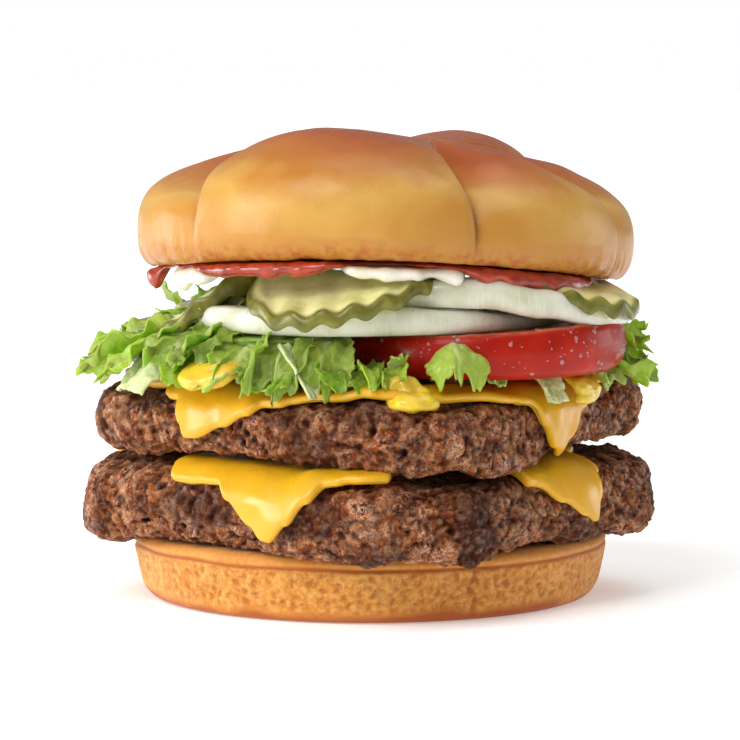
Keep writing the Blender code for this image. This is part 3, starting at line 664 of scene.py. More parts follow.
def glazed_crown():
    """Enriched bread crust brushed with egg: satin, browned on top and golden below, with painted shade along the seams
    between lobes.
    """
    bun = settings("bun")
    made, tree, shader, place = finish_of("egg_glazed_crust")
    blotch = noise_of(tree, place, 24.0, 3.0)
    streak = noise_of(tree, place, 7.0, 4.0, 0.6)
    height = math_of(tree, "MULTIPLY_ADD", mark_of(tree, "crest"), 0.34, math_of(tree, "ADD", mark_of(tree, "rise"), -0.26))
    height = math_of(tree, "MULTIPLY_ADD", blotch, 0.5, math_of(tree, "ADD", height, -0.25))
    height = math_of(tree, "MULTIPLY_ADD", streak, 0.16, math_of(tree, "ADD", height, -0.08))
    crust = ramp(tree, height, (0.0, tone("#c48a3a")), (0.2, bun.pale), (0.38, bun.golden), (0.52, tone("#b9661a")),
                 (0.7, bun.toasted))
    seams = mixed(tree, math_of(tree, "MULTIPLY", mark_of(tree, "seam"), 0.6), crust, tone("#e0a862"))
    # painted shade: a narrow dark line along each seam, where shade falls as one lobe drops under the next
    seams = mixed(tree, math_of(tree, "MULTIPLY", mark_of(tree, "crease"), 0.85), seams, tone("#6f3712"))
    stain = noise_of(tree, place, 2.2, 5.0, 0.7)
    soak = math_of(tree, "MULTIPLY", mark_of(tree, "edge"), ramp(tree, stain, (0.42, (0, 0, 0)), (0.62, (1, 1, 1))))
    colour = mixed(tree, math_of(tree, "MULTIPLY", soak, 0.75), seams, tone("#b4532c"))
    tree.links.new(colour, shader.inputs["Base Color"])
    dimples = bump_of(tree, noise_of(tree, place, 2.4, 5.0, 0.7), 0.14, 0.5)
    skin = bump_of(tree, noise_of(tree, place, 0.6, 4.0, 0.65), 0.09, 0.7, dimples)
    tree.links.new(skin, shader.inputs["Normal"])
    tree.links.new(skin, shader.inputs["Coat Normal"])
    sheen = ramp(tree, noise_of(tree, place, 3.0, 4.0, 0.7), (0.35, (0.32,) * 3), (0.7, (0.5,) * 3))
    tree.links.new(sheen, shader.inputs["Roughness"])
    set_up(shader, Specular_IOR_Level=0.12, Subsurface_Weight=0.1, Subsurface_Scale=0.002, Coat_Weight=0.4,
           Coat_Roughness=0.17)
    shader.inputs["Subsurface Radius"].default_value = (1.0, 0.5, 0.2)
    return made


# ---------------------------------------------------------------- patties

PATTIES = {                     # node: seed of the mince, how far its lip hangs front right
    "patty_lower": (3, 0.0),
    "patty_upper": (11, 3.4),
}
PATTY_CORE = 30.0               # radius of the ring from which the surface is looked for
beef_skins = {}                 # node: (smooth points, normals, relief) of its patty


def patty_skin(node):
    """Smooth grid over a patty's solid: rows run from below the middle, up the side, to the top."""
    tree = node_tree(node)
    low, high = (np.array(corner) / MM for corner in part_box(node))
    middle = 0.5 * (low[2] + high[2])
    side = np.linspace(-1.0, 1.0, 48)
    flat = np.concatenate([np.linspace(1.0, 17.0, 13), np.linspace(17.8, 23.5, 9)])
    aims = [(f, -8.0) for f in flat] + [(24.0, 8.0 * s) for s in side] + [(f, 8.0) for f in flat[::-1]]
    azimuths = np.linspace(0.0, 360.0, 860, endpoint=False)
    outs = heading(azimuths)
    rows = []
    for across, rise in aims:
        row = []
        for out in outs:
            origin = Vector(((out[0] * PATTY_CORE) * MM, (out[1] * PATTY_CORE) * MM, middle * MM))
            aim = Vector((out[0] * across, out[1] * across, rise)).normalized()
            hit = tree.ray_cast(origin, aim)[0]
            row.append(tuple(hit))
        rows.append(row)
    points = np.array(rows) / MM
    points = soften(points, 14)
    return points, azimuths


def make_patty(node):
    """Seared patty of coarse mince: lumps, grains and deep crevices round a ragged side."""
    beef = settings("beef")
    seed, sag = PATTIES[node]
    points, azimuths = patty_skin(node)
    normals = grid_normals(points)
    reach = np.linalg.norm(points[..., :2], axis=-1)
    low, high = points[..., 2].min(), points[..., 2].max()
    side = away(azimuths)
    lip = blend(16.0, 26.0, side) * blend(54.0, 40.0, side)
    hang = sag * lip[None] * blend(0.75, 0.1, (points[..., 2] - low) / (high - low)) * blend(47.0, 53.0, reach)
    points[..., 2] -= hang
    points[..., :2] *= (1.0 + 0.35 * hang / np.maximum(reach, 1.0))[..., None]
    out = blend(43.0, 50.0, reach)

    warp = np.stack([ripple(points, 3.0, seed + k) for k in range(3)], axis=-1)
    bent = points + 1.1 * warp
    chunk, chunk_next, _ = grains(points + 2.0 * warp, beef.chunk / MM, seed + 20)
    hole, _, own = grains(bent, beef.crumble / MM, seed + 40)
    lumps = blend(0.0, 0.4, chunk_next - chunk) - 0.75
    crumbs = np.abs(ripple(bent, 0.95 * beef.crumble / MM, seed + 41)) ** 0.75 - 0.42
    shreds = np.abs(ripple(bent * np.array([1.0, 1.0, 1.3]), 0.5 * beef.crumble / MM, seed + 42)) ** 0.8 - 0.4
    pits = blend(0.42, 0.12, hole) * blend(0.62, 0.7, own)
    swell = ripple(points, 13.0, seed + 5)
    rough = 0.5 + 0.5 * blend(-0.45, 0.35, ripple(points, 15.0, seed + 6))
    grit = ripple(bent, 1.15, seed + 8) + 0.7 * ripple(points, 0.75, seed + 11)
    relief = 1.15 * swell + 0.8 * ripple(bent, 5.5, seed + 7) + 0.25 * lumps
    relief = relief + rough * (0.75 * crumbs + 0.65 * shreds - 1.2 * pits + 0.34 * grit)
    relief = relief * beef.relief / MM * out - 0.25 * (1.0 - out)
    rim = blend(high - 3.0, high, points[..., 2]) * blend(45.0, 52.0, reach)
    relief = relief - 0.5 * rim
    beef_skins[node] = (points, normals, relief, azimuths)

    skin = points + normals * relief[..., None]
    room = [np.array(corner) / MM for corner in CAD_BOX]
    skin = np.clip(skin, room[0] + 0.02, room[1] - 0.02)
    # hollow is high in the relief's dips: it sets the painted shade there and keeps the painted glints on the raised
    # grains
    hollow = np.clip(0.3 - 0.9 * crumbs - 0.6 * shreds + 0.9 * pits - 0.3 * grit, 0.0, 1.0)
    marks = {"hollow": hollow, "own": own, "char": blend(-0.05, 0.55, ripple(points, 12.0, seed + 9) + 0.35 * swell)}
    piece = shell(node + "_meat", skin, marks)
    settle(piece, seared_beef(), "beef", node)


def seared_beef():
    """Coarse mince seared on a griddle: browned protein, moist with fat, charred in places, with painted shade in its
    crevices and painted glints on its raised grains.
    """
    found = bpy.data.materials.get("seared_ground_beef")
    if found:
        return found
    beef = settings("beef")
    made, tree, shader, place = finish_of("seared_ground_beef")
    patch = noise_of(tree, place, 9.0, 4.0, 0.6)
    fleck = noise_of(tree, place, 1.0, 5.0, 0.75)
    shred = noise_of(tree, place, 2.6, 6.0, 0.7, 0.8)
    base = ramp(tree, shred, (0.36, beef.dark), (0.44, beef.brown), (0.51, tone("#b8632f")), (0.6, beef.light))
    rosy = mixed(tree, ramp(tree, patch, (0.5, (0, 0, 0)), (0.7, (0.55,) * 3)), base, tone("#97401f"))
    # painted highlights: small pale flecks on the raised grains stand in for glints
    tips = math_of(tree, "MULTIPLY", ramp(tree, fleck, (0.52, (0, 0, 0)), (0.6, (1.0,) * 3)),
                   math_of(tree, "SUBTRACT", 1.0, mark_of(tree, "hollow")))
    pale = mixed(tree, tips, rosy, tone("#dfa77a"))
    soot = ramp(tree, noise_of(tree, place, 1.4, 5.0, 0.75), (0.36, (0.85,) * 3), (0.46, (0, 0, 0)))
    pale = mixed(tree, soot, pale, tone("#2c0f06"))
    # partly fat and partly painted highlight: pale pinkish-white flecks in clusters on the raised grains stand for bits
    # of fat and for glints
    marbled = ramp(tree, noise_of(tree, place, 0.9, 4.0, 0.8, 1.0), (0.52, (0, 0, 0)), (0.58, (0.9,) * 3))
    fatty = ramp(tree, noise_of(tree, place, 8.0, 3.0), (0.4, (0.1,) * 3), (0.58, (1.0,) * 3))
    raised = math_of(tree, "SUBTRACT", 1.0, mark_of(tree, "hollow"))
    fat = math_of(tree, "MULTIPLY", math_of(tree, "MULTIPLY", marbled, fatty), raised)
    pale = mixed(tree, fat, pale, tone("#ecc9ab"))
    # painted shade: the hollows between the grains are coloured almost black, where shade falls
    deep = math_of(tree, "MULTIPLY", mark_of(tree, "hollow"), 0.95)
    crevice = mixed(tree, deep, pale, tone("#2c0f06"))
    char = math_of(tree, "MULTIPLY", mark_of(tree, "char"), 0.7)
    colour = mixed(tree, char, crevice, tone("#3a1408"))
    tree.links.new(colour, shader.inputs["Base Color"])
    juice = noise_of(tree, place, 2.0, 6.0, 0.75)
    tree.links.new(ramp(tree, juice, (0.5, (0, 0, 0)), (0.57, (1.0,) * 3)), shader.inputs["Coat Weight"])
    tree.links.new(ramp(tree, juice, (0.4, (0.7,) * 3), (0.6, (0.34,) * 3)), shader.inputs["Roughness"])
    coarse = bump_of(tree, noise_of(tree, place, 1.3, 6.0, 0.8), 0.8, 1.0)
    fine = bump_of(tree, noise_of(tree, place, 0.5, 4.0, 0.7), 0.3, 1.0, coarse)
    tree.links.new(fine, shader.inputs["Normal"])
    tree.links.new(fine, shader.inputs["Coat Normal"])
    set_up(shader, Specular_IOR_Level=0.09, Subsurface_Weight=0.06, Subsurface_Scale=0.0015, Coat_Roughness=0.09)
    shader.inputs["Subsurface Radius"].default_value = (1.0, 0.35, 0.2)
    return made


# ---------------------------------------------------------------- cheese

# patty below each slice, and how far its edge hangs below the patty's top by azimuth;
# less than nothing stops short of the rim
CHEESE_DROPS = {
    "cheese_lower": ("patty_lower", (
        (-180.0, -12.0), (-138.0, -4.0), (-122.0, 5.0), (-112.0, 10.5), (-104.0, 5.0), (-92.0, -6.0),
        (-84.0, -26.0), (-58.0, -26.0), (-55.5, -9.0), (-53.6, -2.0), (-51.5, 0.5), (-48.0, 2.2), (-43.5, 1.4), (-38.0, 2.2), (-32.0, 5.4),
        (-26.2, 9.8), (-22.6, 12.6), (-21.0, 12.8), (-16.5, 9.2), (-11.5, 4.6), (-8.0, 1.4), (-4.0, 0.2),
        (3.5, -0.6), (6.5, -12.0), (12.0, -24.0), (30.0, -24.0), (34.5, -8.0), (38.0, 1.2), (41.5, 3.8), (48.0, 7.0),
        (55.0, 10.0), (58.6, 11.4), (60.4, 8.0), (63.0, 1.2), (66.0, -8.0), (90.0, -15.0), (130.0, -8.0),
        (146.0, 5.0), (155.0, 9.0), (163.0, 2.0), (180.0, -12.0))),
    "cheese_upper": ("patty_upper", (
        (-180.0, -3.0), (-150.0, -1.5), (-140.0, 5.0), (-134.0, 9.5), (-127.0, 4.0), (-112.0, -1.0),
        (-75.0, -3.0), (-58.0, -2.5), (-55.8, 0.2), (-52.2, 2.6), (-48.5, 7.4), (-46.2, 9.9), (-44.5, 9.8),
        (-36.2, 7.2), (-29.0, 4.6), (-25.0, 3.0), (-21.5, 1.0), (-18.0, -0.2), (-11.0, -1.0), (-4.0, -1.4),
        (4.0, -0.6), (12.0, -0.2), (22.0, -0.8), (34.0, 0.2), (38.0, 1.6), (40.5, 3.6), (44.0, 7.6), (46.2, 11.8),
        (51.5, 12.8), (54.0, 11.0), (61.0, 5.2), (70.0, 2.2), (76.0, -1.5), (100.0, -3.0),
        (128.0, -1.5), (136.0, 5.0), (141.0, 10.0), (147.0, 5.0), (160.0, -2.0), (180.0, -3.0))),
}


def make_cheese(name):
    """Slice melted over a patty: it bridges the crevices, and its corners sag into soft points."""
    cheese = settings("cheese")
    patty, drops = CHEESE_DROPS[name]
    points, normals, relief, azimuths = beef_skins[patty]
    thick = cheese.thick / MM
    half = int(np.argmax(points[:, 0, 2] > 0.5 * (points[..., 2].min() + points[..., 2].max())))
    hull = soften(crest(relief, 5), 30)
    skin = points + normals * hull[..., None]
    skin = soften(skin, 12)
    low_row = max(half - 24, 0)
    skin = skin[low_row:][::-1]
    facing = normals[low_row:][::-1]
    rim_row = int(np.argmax(np.mean(facing[..., 2], axis=1) < 0.72))

    columns = skin.shape[1]
    top = np.percentile(points[-8:, :, 2], 80)
    drop = along(drops, away(azimuths)) + 0.1 * ripple(heading(azimuths) * 50.0, 5.0, 71)
    steps = np.concatenate([np.linspace(0.03, 0.8, 14), 1.0 - 0.2 * np.linspace(1.0, 0.0, 31)[1:] ** 1.6])
    inner = np.zeros((len(steps), columns, 3))
    outer = np.zeros_like(inner)
    for k in range(columns):
        line = np.concatenate([[[0.0, 0.0, skin[0, k, 2]]], skin[:, k]])
        faces = np.concatenate([[[0.0, 0.0, 1.0]], facing[:, k]])
        run = np.concatenate([[0.0], np.cumsum(np.linalg.norm(np.diff(line, axis=0), axis=1))])
        rim = run[rim_row + 1]
        fallen = np.maximum.accumulate(top - line[:, 2])
        length = np.interp(max(drop[k], 0.8), fallen[rim_row:], run[rim_row:])
        length += min(drop[k] - 0.8, 0.0)
        places = length * steps
        spot = np.stack([np.interp(places, run, line[:, j]) for j in range(3)], axis=-1)
        face = np.stack([np.interp(places, run, faces[:, j]) for j in range(3)], axis=-1)
        face /= np.linalg.norm(face, axis=-1, keepdims=True)
        end = np.clip((length - places) / (0.5 * thick), 0.0, 1.0)
        bead = np.sqrt(1.0 - (1.0 - end) ** 2)
        centre = spot + face * (0.25 + 0.5 * thick)
        inner[:, k] = centre - face * (0.5 * thick * bead)[:, None]
        outer[:, k] = centre + face * (0.5 * thick * bead)[:, None]
    inner, outer = soften(inner, 1), soften(outer, 1)
    swell = 0.2 * ripple(outer, 11.0, 73) + 0.05 * ripple(outer, 4.0, 74)
    tip = blend(0.75, 1.0, steps)[:, None] * blend(2.0, 9.0, drop)[None]
    outer = outer + normalised(outer - inner) * swell[..., None]
    points = np.concatenate([inner, outer[::-1]])
    marks = {"sag": np.concatenate([tip, tip[::-1]]) + 0.0 * points[..., 0]}
    poles = (inner[0].mean(axis=0), outer[0].mean(axis=0))
    piece = shell(name + "_melt", points, marks, poles)
    settle(piece, melted_cheese(), "cheese", name)


def melted_cheese():
    """Melted processed cheese: waxy, a little translucent, with a soft gloss."""
    found = bpy.data.materials.get("melted_cheese")
    if found:
        return found
    made, tree, shader, place = finish_of("melted_cheese")
    cloud = noise_of(tree, place, 14.0, 2.0)
    colour = mixed(tree, cloud, settings("cheese").colour, tone("#e2a414"))
    tree.links.new(colour, shader.inputs["Base Color"])
    gloss = ramp(tree, noise_of(tree, place, 6.0, 3.0), (0.35, (0.24,) * 3), (0.7, (0.4,) * 3))
    tree.links.new(gloss, shader.inputs["Roughness"])
    soft = bump_of(tree, noise_of(tree, place, 3.5, 2.0), 0.12, 0.5)
    tree.links.new(soft, shader.inputs["Normal"])
    set_up(shader, Specular_IOR_Level=0.45, Subsurface_Weight=0.35, Subsurface_Scale=0.004, Coat_Weight=0.15,
           Coat_Roughness=0.15)
    shader.inputs["Subsurface Radius"].default_value = (1.0, 0.6, 0.12)
    return made


# ---------------------------------------------------------------- tomato

TOMATO_CENTRE = (22.0, -16.0)
TOMATO_RADIUS = 34.0
TOMATO_WEDGE = 0.0055           # gain in thickness for each mm to the right
TOMATO_PROFILE = ((-14.0, 51.3), (-4.2, 51.3), (-1.9, 51.9), (-0.6, 53.1), (0.0, 55.6), (-0.2, 58.0),
                  (-0.8, 59.6), (-1.9, 60.4), (-3.6, 60.35), (-8.0, 60.1), (-16.0, 60.0))


def make_tomato():
    """Thick slice: tight shiny skin round a wet cut face."""
    profile = profile_points(TOMATO_PROFILE, 0.5)
    azimuths = np.linspace(0.0, 360.0, 420, endpoint=False)
    turn = np.radians(azimuths)
    uneven = 0.9 * np.sin(3.0 * turn + 0.7) + 0.5 * np.cos(5.0 * turn)
    radius = TOMATO_RADIUS + profile[:, :1] + uneven[None]
    points = heading(azimuths)[None] * radius[..., None] + np.array([*TOMATO_CENTRE, 0.0])
    points[..., 2] = 51.3 + (profile[:, 1:] - 51.3) * (1.0 + TOMATO_WEDGE * (points[..., 0] - 5.0))
    wave = 0.16 * ripple(points, 11.0, 81) + 0.05 * ripple(points, 3.0, 82)
    cut = blend(59.7, 60.25, profile[:, 1:]) * blend(-0.6, -2.0, profile[:, :1])
    flesh = 0.28 * ripple(points, 3.5, 83) * cut
    points = points + grid_normals(points) * (wave + flesh - 0.1)[..., None]
    middle = (*TOMATO_CENTRE, 51.3), (*TOMATO_CENTRE, 60.0)
    side = blend(51.6, 53.0, points[..., 2]) * (1.0 - 0.8 * cut)
    piece = shell("tomato_flesh", points, {"cut": cut + 0.0 * wave, "dew": side}, middle)
    settle(piece, ripe_tomato(), "tomato", "tomato_slice")
    bedew(piece, 1.0, 3, "tomato")


def ripe_tomato():
    """Ripe tomato: deep red glossy skin, and a paler wet face where it was cut."""
    made, tree, shader, place = finish_of("ripe_tomato")
    greens = settings("slices")
    cloud = noise_of(tree, place, 9.0, 3.0)
    skin = ramp(tree, cloud, (0.3, tone("#981505")), (0.55, greens.tomato), (0.75, tone("#c02a0e")))
    pulp = ramp(tree, noise_of(tree, place, 2.4, 4.0), (0.35, tone("#a83a1c")), (0.7, tone("#d06a45")))
    colour = mixed(tree, mark_of(tree, "cut"), skin, pulp)
    tree.links.new(colour, shader.inputs["Base Color"])
    grain = bump_of(tree, noise_of(tree, place, 0.8, 4.0, 0.7), 0.06, 0.4)
    tree.links.new(grain, shader.inputs["Normal"])
    set_up(shader, Roughness=0.36, Specular_IOR_Level=0.16, Subsurface_Weight=0.2, Subsurface_Scale=0.003,
           Coat_Weight=0.14, Coat_Roughness=0.12)
    shader.inputs["Subsurface Radius"].default_value = (1.0, 0.15, 0.08)
    return made


# ---------------------------------------------------------------- onion

RING_TURNS = 540


def onion_band(name, spots, outs, floor, top, wall, lean, node, seed):
    """One onion layer: a rounded upright band along a course of points."""
    turns = len(spots)
    face = np.linspace(0.0, 2.0 * np.pi, 44, endpoint=False)[:, None]
    power = 0.42
    across = np.sign(np.cos(face)) * np.abs(np.cos(face)) ** power
    upward = np.sign(np.sin(face)) * np.abs(np.sin(face)) ** power
    height = (top - floor)[None]
    level = 0.5 + 0.5 * upward
    lean_out = lean * (1.0 - (2.0 * level - 0.9) ** 2)
    radius = -0.5 * wall[None] + 0.5 * wall[None] * across + lean_out - 0.4
    points = spots[None] + outs[None] * radius[..., None]
    points[..., 2] = floor[None] + height * level
    wave = 0.22 * ripple(points, 9.0, seed) + 0.1 * ripple(points, 3.5, seed + 1)
    points = points + outs[None] * wave[..., None]
    run = np.concatenate([[0.0], np.cumsum(np.linalg.norm(np.diff(spots, axis=0), axis=1))])
    marks = {"course": np.broadcast_to(run[None], wave.shape), "level": level + 0.0 * wave,
             "dew": blend(0.0, 0.6, across) * blend(0.05, 0.3, level) + 0.0 * wave}
    return points, marks


def fresh_onion(name, code, shade):
    """Raw onion layer: juicy, translucent white with fine fibres running up its skin side."""
    made, tree, shader, place = finish_of(name)
    course = math_of(tree, "MULTIPLY", mark_of(tree, "course"), 2.4)
    level = math_of(tree, "MULTIPLY", mark_of(tree, "level"), 0.9)
    across = add(tree, "ShaderNodeCombineXYZ", {"X": course, "Y": level}).outputs[0]
    fibre = add(tree, "ShaderNodeTexNoise", {"Vector": across, "Scale": 1.0, "Detail": 3.0}).outputs["Fac"]
    cloud = noise_of(tree, place, 7.0, 3.0)
    tint = ramp(tree, cloud, (0.32, tone(shade)), (0.66, tone(code)))
    colour = mixed(tree, ramp(tree, fibre, (0.52, (0, 0, 0)), (0.75, (0.45,) * 3)), tint, tone("#f6f4e6"))
    tree.links.new(colour, shader.inputs["Base Color"])
    ridge = bump_of(tree, fibre, 0.1, 0.5)
    tree.links.new(ridge, shader.inputs["Normal"])
    set_up(shader, Roughness=0.22, Specular_IOR_Level=0.5, Subsurface_Weight=0.7, Subsurface_Scale=0.004,
           Coat_Weight=0.25, Coat_Roughness=0.1)
    shader.inputs["Subsurface Radius"].default_value = (1.0, 1.0, 0.7)
    return made


def make_onions():
    """Two whole rings, one lying over the other, and a short curved piece."""
    azimuths = np.linspace(0.0, 360.0, RING_TURNS, endpoint=False)
    turn = np.radians(azimuths)
    outs = heading(azimuths)
    white = fresh_onion("fresh_white_onion", "#ecebd9", "#cfd0b4")

    spots = np.array([0.0, -7.0, 0.0]) + outs * (43.0 + 0.8 * np.sin(2.0 * turn + 0.5))[:, None]
    wall = 5.4 * (0.9 + 0.16 * np.cos(turn + 0.45))
    top = along(((-180.0, 64.0), (-90.0, 64.3), (-45.0, 66.0), (-12.0, 66.6), (7.0, 67.0), (25.0, 66.0),
                 (55.0, 64.0), (180.0, 64.0)), away(azimuths))
    floor = np.full_like(top, 60.75) + 0.25 * np.sin(3.0 * turn)
    points, marks = onion_band("onion_ring_low_layer", spots, outs, floor, top, wall, 0.8, None, 91)
    low_ring = loop_tube("onion_ring_low_layer", points, marks)
    settle(low_ring, white, "onion", "onion_ring_low")
    bedew(low_ring, 0.4, 5, "onion")

    spots = np.array([20.0, -10.0, 0.0]) + outs * (37.0 + 0.7 * np.sin(3.0 * turn))[:, None]
    wall = 5.2 * (0.92 + 0.14 * np.sin(turn))
    side = away(azimuths)
    floor = along(((-180.0, 61.4), (-70.0, 63.6), (-30.0, 65.6), (-6.0, 66.4), (6.0, 66.3), (27.0, 64.0),
                   (54.0, 60.9), (75.0, 60.8), (120.0, 61.0), (180.0, 61.4)), side)
    top = along(((-180.0, 65.0), (-70.0, 67.0), (-34.0, 69.6), (-6.0, 72.8), (6.0, 72.9), (27.0, 70.2),
                 (54.0, 65.4), (75.0, 62.9), (90.0, 63.4), (120.0, 64.6), (180.0, 65.0)), side)
    points, marks = onion_band("onion_ring_high_layer", spots, outs, floor, top, wall, 1.0, None, 95)
    high_ring = loop_tube("onion_ring_high_layer", points, marks)
    settle(high_ring, white, "onion", "onion_ring_high")
    bedew(high_ring, 0.3, 9, "onion")

    share = np.linspace(0.0, 1.0, 130)
    outs = heading(-140.0 + 120.0 * share)
    spots = np.array([-13.5, -13.0, 0.0]) + outs * 20.0
    taper = np.sqrt(np.clip(1.0 - (2.0 * share - 1.0) ** 6, 0.05, 1.0))
    top = 60.85 + 7.0 * (0.55 + 0.45 * (1.0 - 0.35 * np.abs(2.0 * share - 1.0)))
    points, marks = onion_band("onion_piece_layer", spots, outs, np.full_like(top, 60.85), top,
                               3.6 * taper, 1.0, None, 99)
    rows, columns = points.shape[:2]
    around = np.swapaxes(points, 0, 1)
    full = {key: np.swapaxes(values, 0, 1) for key, values in marks.items()}
    piece = shell("onion_piece_layer", around, full)
    settle(piece, fresh_onion("fresh_yellow_onion", "#ddd2a0", "#b6a878"), "onion", "onion_piece")


# ---------------------------------------------------------------- pickles

PICKLE_TOP = -2.35
CRINKLE_PITCH = 6.4
CRINKLE_DEPTH = 0.5
PICKLES = {                     # in the crown's own frame
    "pickle_front": {"centre": (-8.3, -35.5), "radius": 21.0, "thick": 2.8, "toward": -33.0, "from": 34.0,
                     "slope": 0.42, "ridge_turn": 0.0},
    "pickle_left": {"centre": (-36.5, -12.0), "radius": 17.5, "thick": 3.6, "toward": -96.0, "from": 28.0,
                    "slope": 0.8, "ridge_turn": -20.0},
    "pickle_right": {"centre": (37.0, -22.0), "radius": 18.0, "thick": 2.8, "toward": 60.0, "from": 44.0,
                     "slope": 0.3, "ridge_turn": 25.0},
}


def make_pickle(name):
    """Crinkle-cut slice that lies under the crown and droops past it."""
    shape = PICKLES[name]
    radius, thick = shape["radius"], shape["thick"]
    turns = 300
    around = np.linspace(0.0, 2.0 * np.pi, turns, endpoint=False)
    rim = 1.0 + 0.02 * np.sin(3.0 * around + 1.0) + 0.012 * np.sin(5.0 * around)
    reach = np.concatenate([np.linspace(0.03, 0.9, 44), np.linspace(0.915, 0.985, 8)])
    edge = np.linspace(-0.5 * np.pi, 0.5 * np.pi, 15)
    bulge = 0.985 + 0.03 * np.cos(edge)
    share = np.concatenate([reach, bulge, reach[::-1]])
    lift = np.concatenate([np.zeros(len(reach)), 0.5 + 0.5 * np.sin(edge), np.ones(len(reach))])
    share, lift = share[:, None], lift[:, None]
    across = radius * share * rim * np.cos(around)[None]
    deep = radius * share * rim * np.sin(around)[None]

    turn = math.radians(shape["ridge_turn"])
    x = shape["centre"][0] + across * math.cos(turn) - deep * math.sin(turn)
    y = shape["centre"][1] + across * math.sin(turn) + deep * math.cos(turn)
    out = heading(shape["toward"])
    over = x * out[0] + y * out[1] - shape["from"]
    soft = 3.0
    fall = shape["slope"] * 0.5 * (over + np.sqrt(over * over + soft * soft))
    deep_wave = CRINKLE_DEPTH * (0.26 + 1.14 * blend(0.72, 1.0, share))
    wave = deep_wave * (np.sin(2.0 * np.pi * across / CRINKLE_PITCH) - 1.0)
    level = PICKLE_TOP + wave - (1.0 - lift) * thick * math.sqrt(1.0 + 0.6 * shape["slope"] ** 2) - fall
    points = np.stack([x, y, level], axis=-1)
    points = points + 0.1 * ripple(points, 4.0, 101)[..., None] * np.array([0.3, 0.3, 1.0])
    core = share * (1.0 + 0.04 * np.sin(5.0 * around)[None])
    seeds = blend(0.30, 0.42, core) * blend(0.80, 0.68, core)
    marks = {"rind": blend(0.90, 0.985, share) + 0.0 * across, "seeds": seeds + 0.0 * across,
             "ridge": np.sin(2.0 * np.pi * across / CRINKLE_PITCH)}
    foot, tip = seated(points[0].mean(axis=0)), seated(points[-1].mean(axis=0))
    piece = shell(name + "_slice", seated(points), marks, (foot, tip))
    settle(piece, brined_pickle(), "pickle", name)


def brined_pickle():
    """Cucumber kept in brine: olive rind, paler wet flesh with seeds set in it."""
    found = bpy.data.materials.get("brined_cucumber")
    if found:
        return found
    made, tree, shader, place = finish_of("brined_cucumber")
    slices = settings("slices")
    cloud = noise_of(tree, place, 5.0, 3.0)
    flesh = ramp(tree, cloud, (0.3, tone("#c8c877")), (0.55, slices.pickle), (0.75, tone("#f0ebb4")))
    crinkle = mixed(tree, math_of(tree, "MULTIPLY_ADD", mark_of(tree, "ridge"), 0.2, 0.2), flesh, tone("#d3d28a"))
    pips = add(tree, "ShaderNodeTexVoronoi", {"Vector": place, "Scale": per(3.0)}).outputs["Distance"]
    pip = ramp(tree, pips, (0.16, (0.6,) * 3), (0.3, (0, 0, 0)))
    seeded = mixed(tree, math_of(tree, "MULTIPLY", mark_of(tree, "seeds"), pip), crinkle, tone("#e6dfae"))
    rind = ramp(tree, noise_of(tree, place, 3.0, 4.0), (0.3, tone("#59591a")), (0.55, slices.rind),
                (0.75, tone("#96913a")))
    colour = mixed(tree, mark_of(tree, "rind"), seeded, rind)
    tree.links.new(colour, shader.inputs["Base Color"])
    wet = bump_of(tree, noise_of(tree, place, 1.2, 4.0, 0.6), 0.12, 0.5)
    tree.links.new(wet, shader.inputs["Normal"])
    set_up(shader, Roughness=0.3, Specular_IOR_Level=0.35, Subsurface_Weight=0.45, Subsurface_Scale=0.003,
           Coat_Weight=0.2, Coat_Roughness=0.12)
    shader.inputs["Subsurface Radius"].default_value = (0.8, 1.0, 0.35)
    return made


# ---------------------------------------------------------------- water

def drop_tree(seed, water):
    """Node tree that strews half-sunk drops over a mesh, more of them where its mark 'dew' is high."""
    tree = bpy.data.node_groups.new("strewn_drops", "GeometryNodeTree")
    tree.interface.new_socket("Surface", in_out="INPUT", socket_type="NodeSocketGeometry")
    for title in ("Density", "Smallest", "Largest"):
        tree.interface.new_socket(title, in_out="INPUT", socket_type="NodeSocketFloat")
    tree.interface.new_socket("Drops", in_out="OUTPUT", socket_type="NodeSocketGeometry")
    given = add(tree, "NodeGroupInput").outputs
    dew = add(tree, "GeometryNodeInputNamedAttribute", {"Name": "dew"}, data_type="FLOAT").outputs["Attribute"]
    spread = math_of(tree, "MULTIPLY", dew, given["Density"])
    strewn = add(tree, "GeometryNodeDistributePointsOnFaces", {"Mesh": given["Surface"], "Density": spread,
                                                               "Seed": seed})
    chance = add(tree, "FunctionNodeRandomValue", {"Seed": seed + 1}, data_type="FLOAT").outputs[1]
    skewed = math_of(tree, "POWER", chance, 2.5)
    gap = math_of(tree, "SUBTRACT", given["Largest"], given["Smallest"])
    size = math_of(tree, "MULTIPLY_ADD", skewed, gap, given["Smallest"])
    flat = add(tree, "ShaderNodeVectorMath", {0: (1.0, 1.0, 0.75)}, operation="SCALE")
    tree.links.new(size, flat.inputs["Scale"])
    ball = add(tree, "GeometryNodeMeshIcoSphere", {"Radius": 1.0, "Subdivisions": 2}).outputs["Mesh"]
    placed = add(tree, "GeometryNodeInstanceOnPoints", {
        "Points": strewn.outputs["Points"], "Instance": ball, "Rotation": strewn.outputs["Rotation"],
        "Scale": flat.outputs[0]}).outputs["Instances"]
    real = add(tree, "GeometryNodeRealizeInstances", {"Geometry": placed}).outputs["Geometry"]
    smooth = add(tree, "GeometryNodeSetShadeSmooth", {"Geometry": real}).outputs[0]
    finish = add(tree, "GeometryNodeSetMaterial", {"Geometry": smooth, "Material": water}).outputs["Geometry"]
    end = add(tree, "NodeGroupOutput")
    tree.links.new(finish, end.inputs["Drops"])
    return tree


def clear_water():
    """Clear water in small round drops."""
    found = bpy.data.materials.get("clear_water")
    if found:
        return found
    made, tree, shader, place = finish_of("clear_water")
    set_up(shader, Base_Color=(1.0, 1.0, 1.0, 1.0), Roughness=0.02, IOR=1.33, Transmission_Weight=0.82,
           Specular_IOR_Level=0.7)
    return made


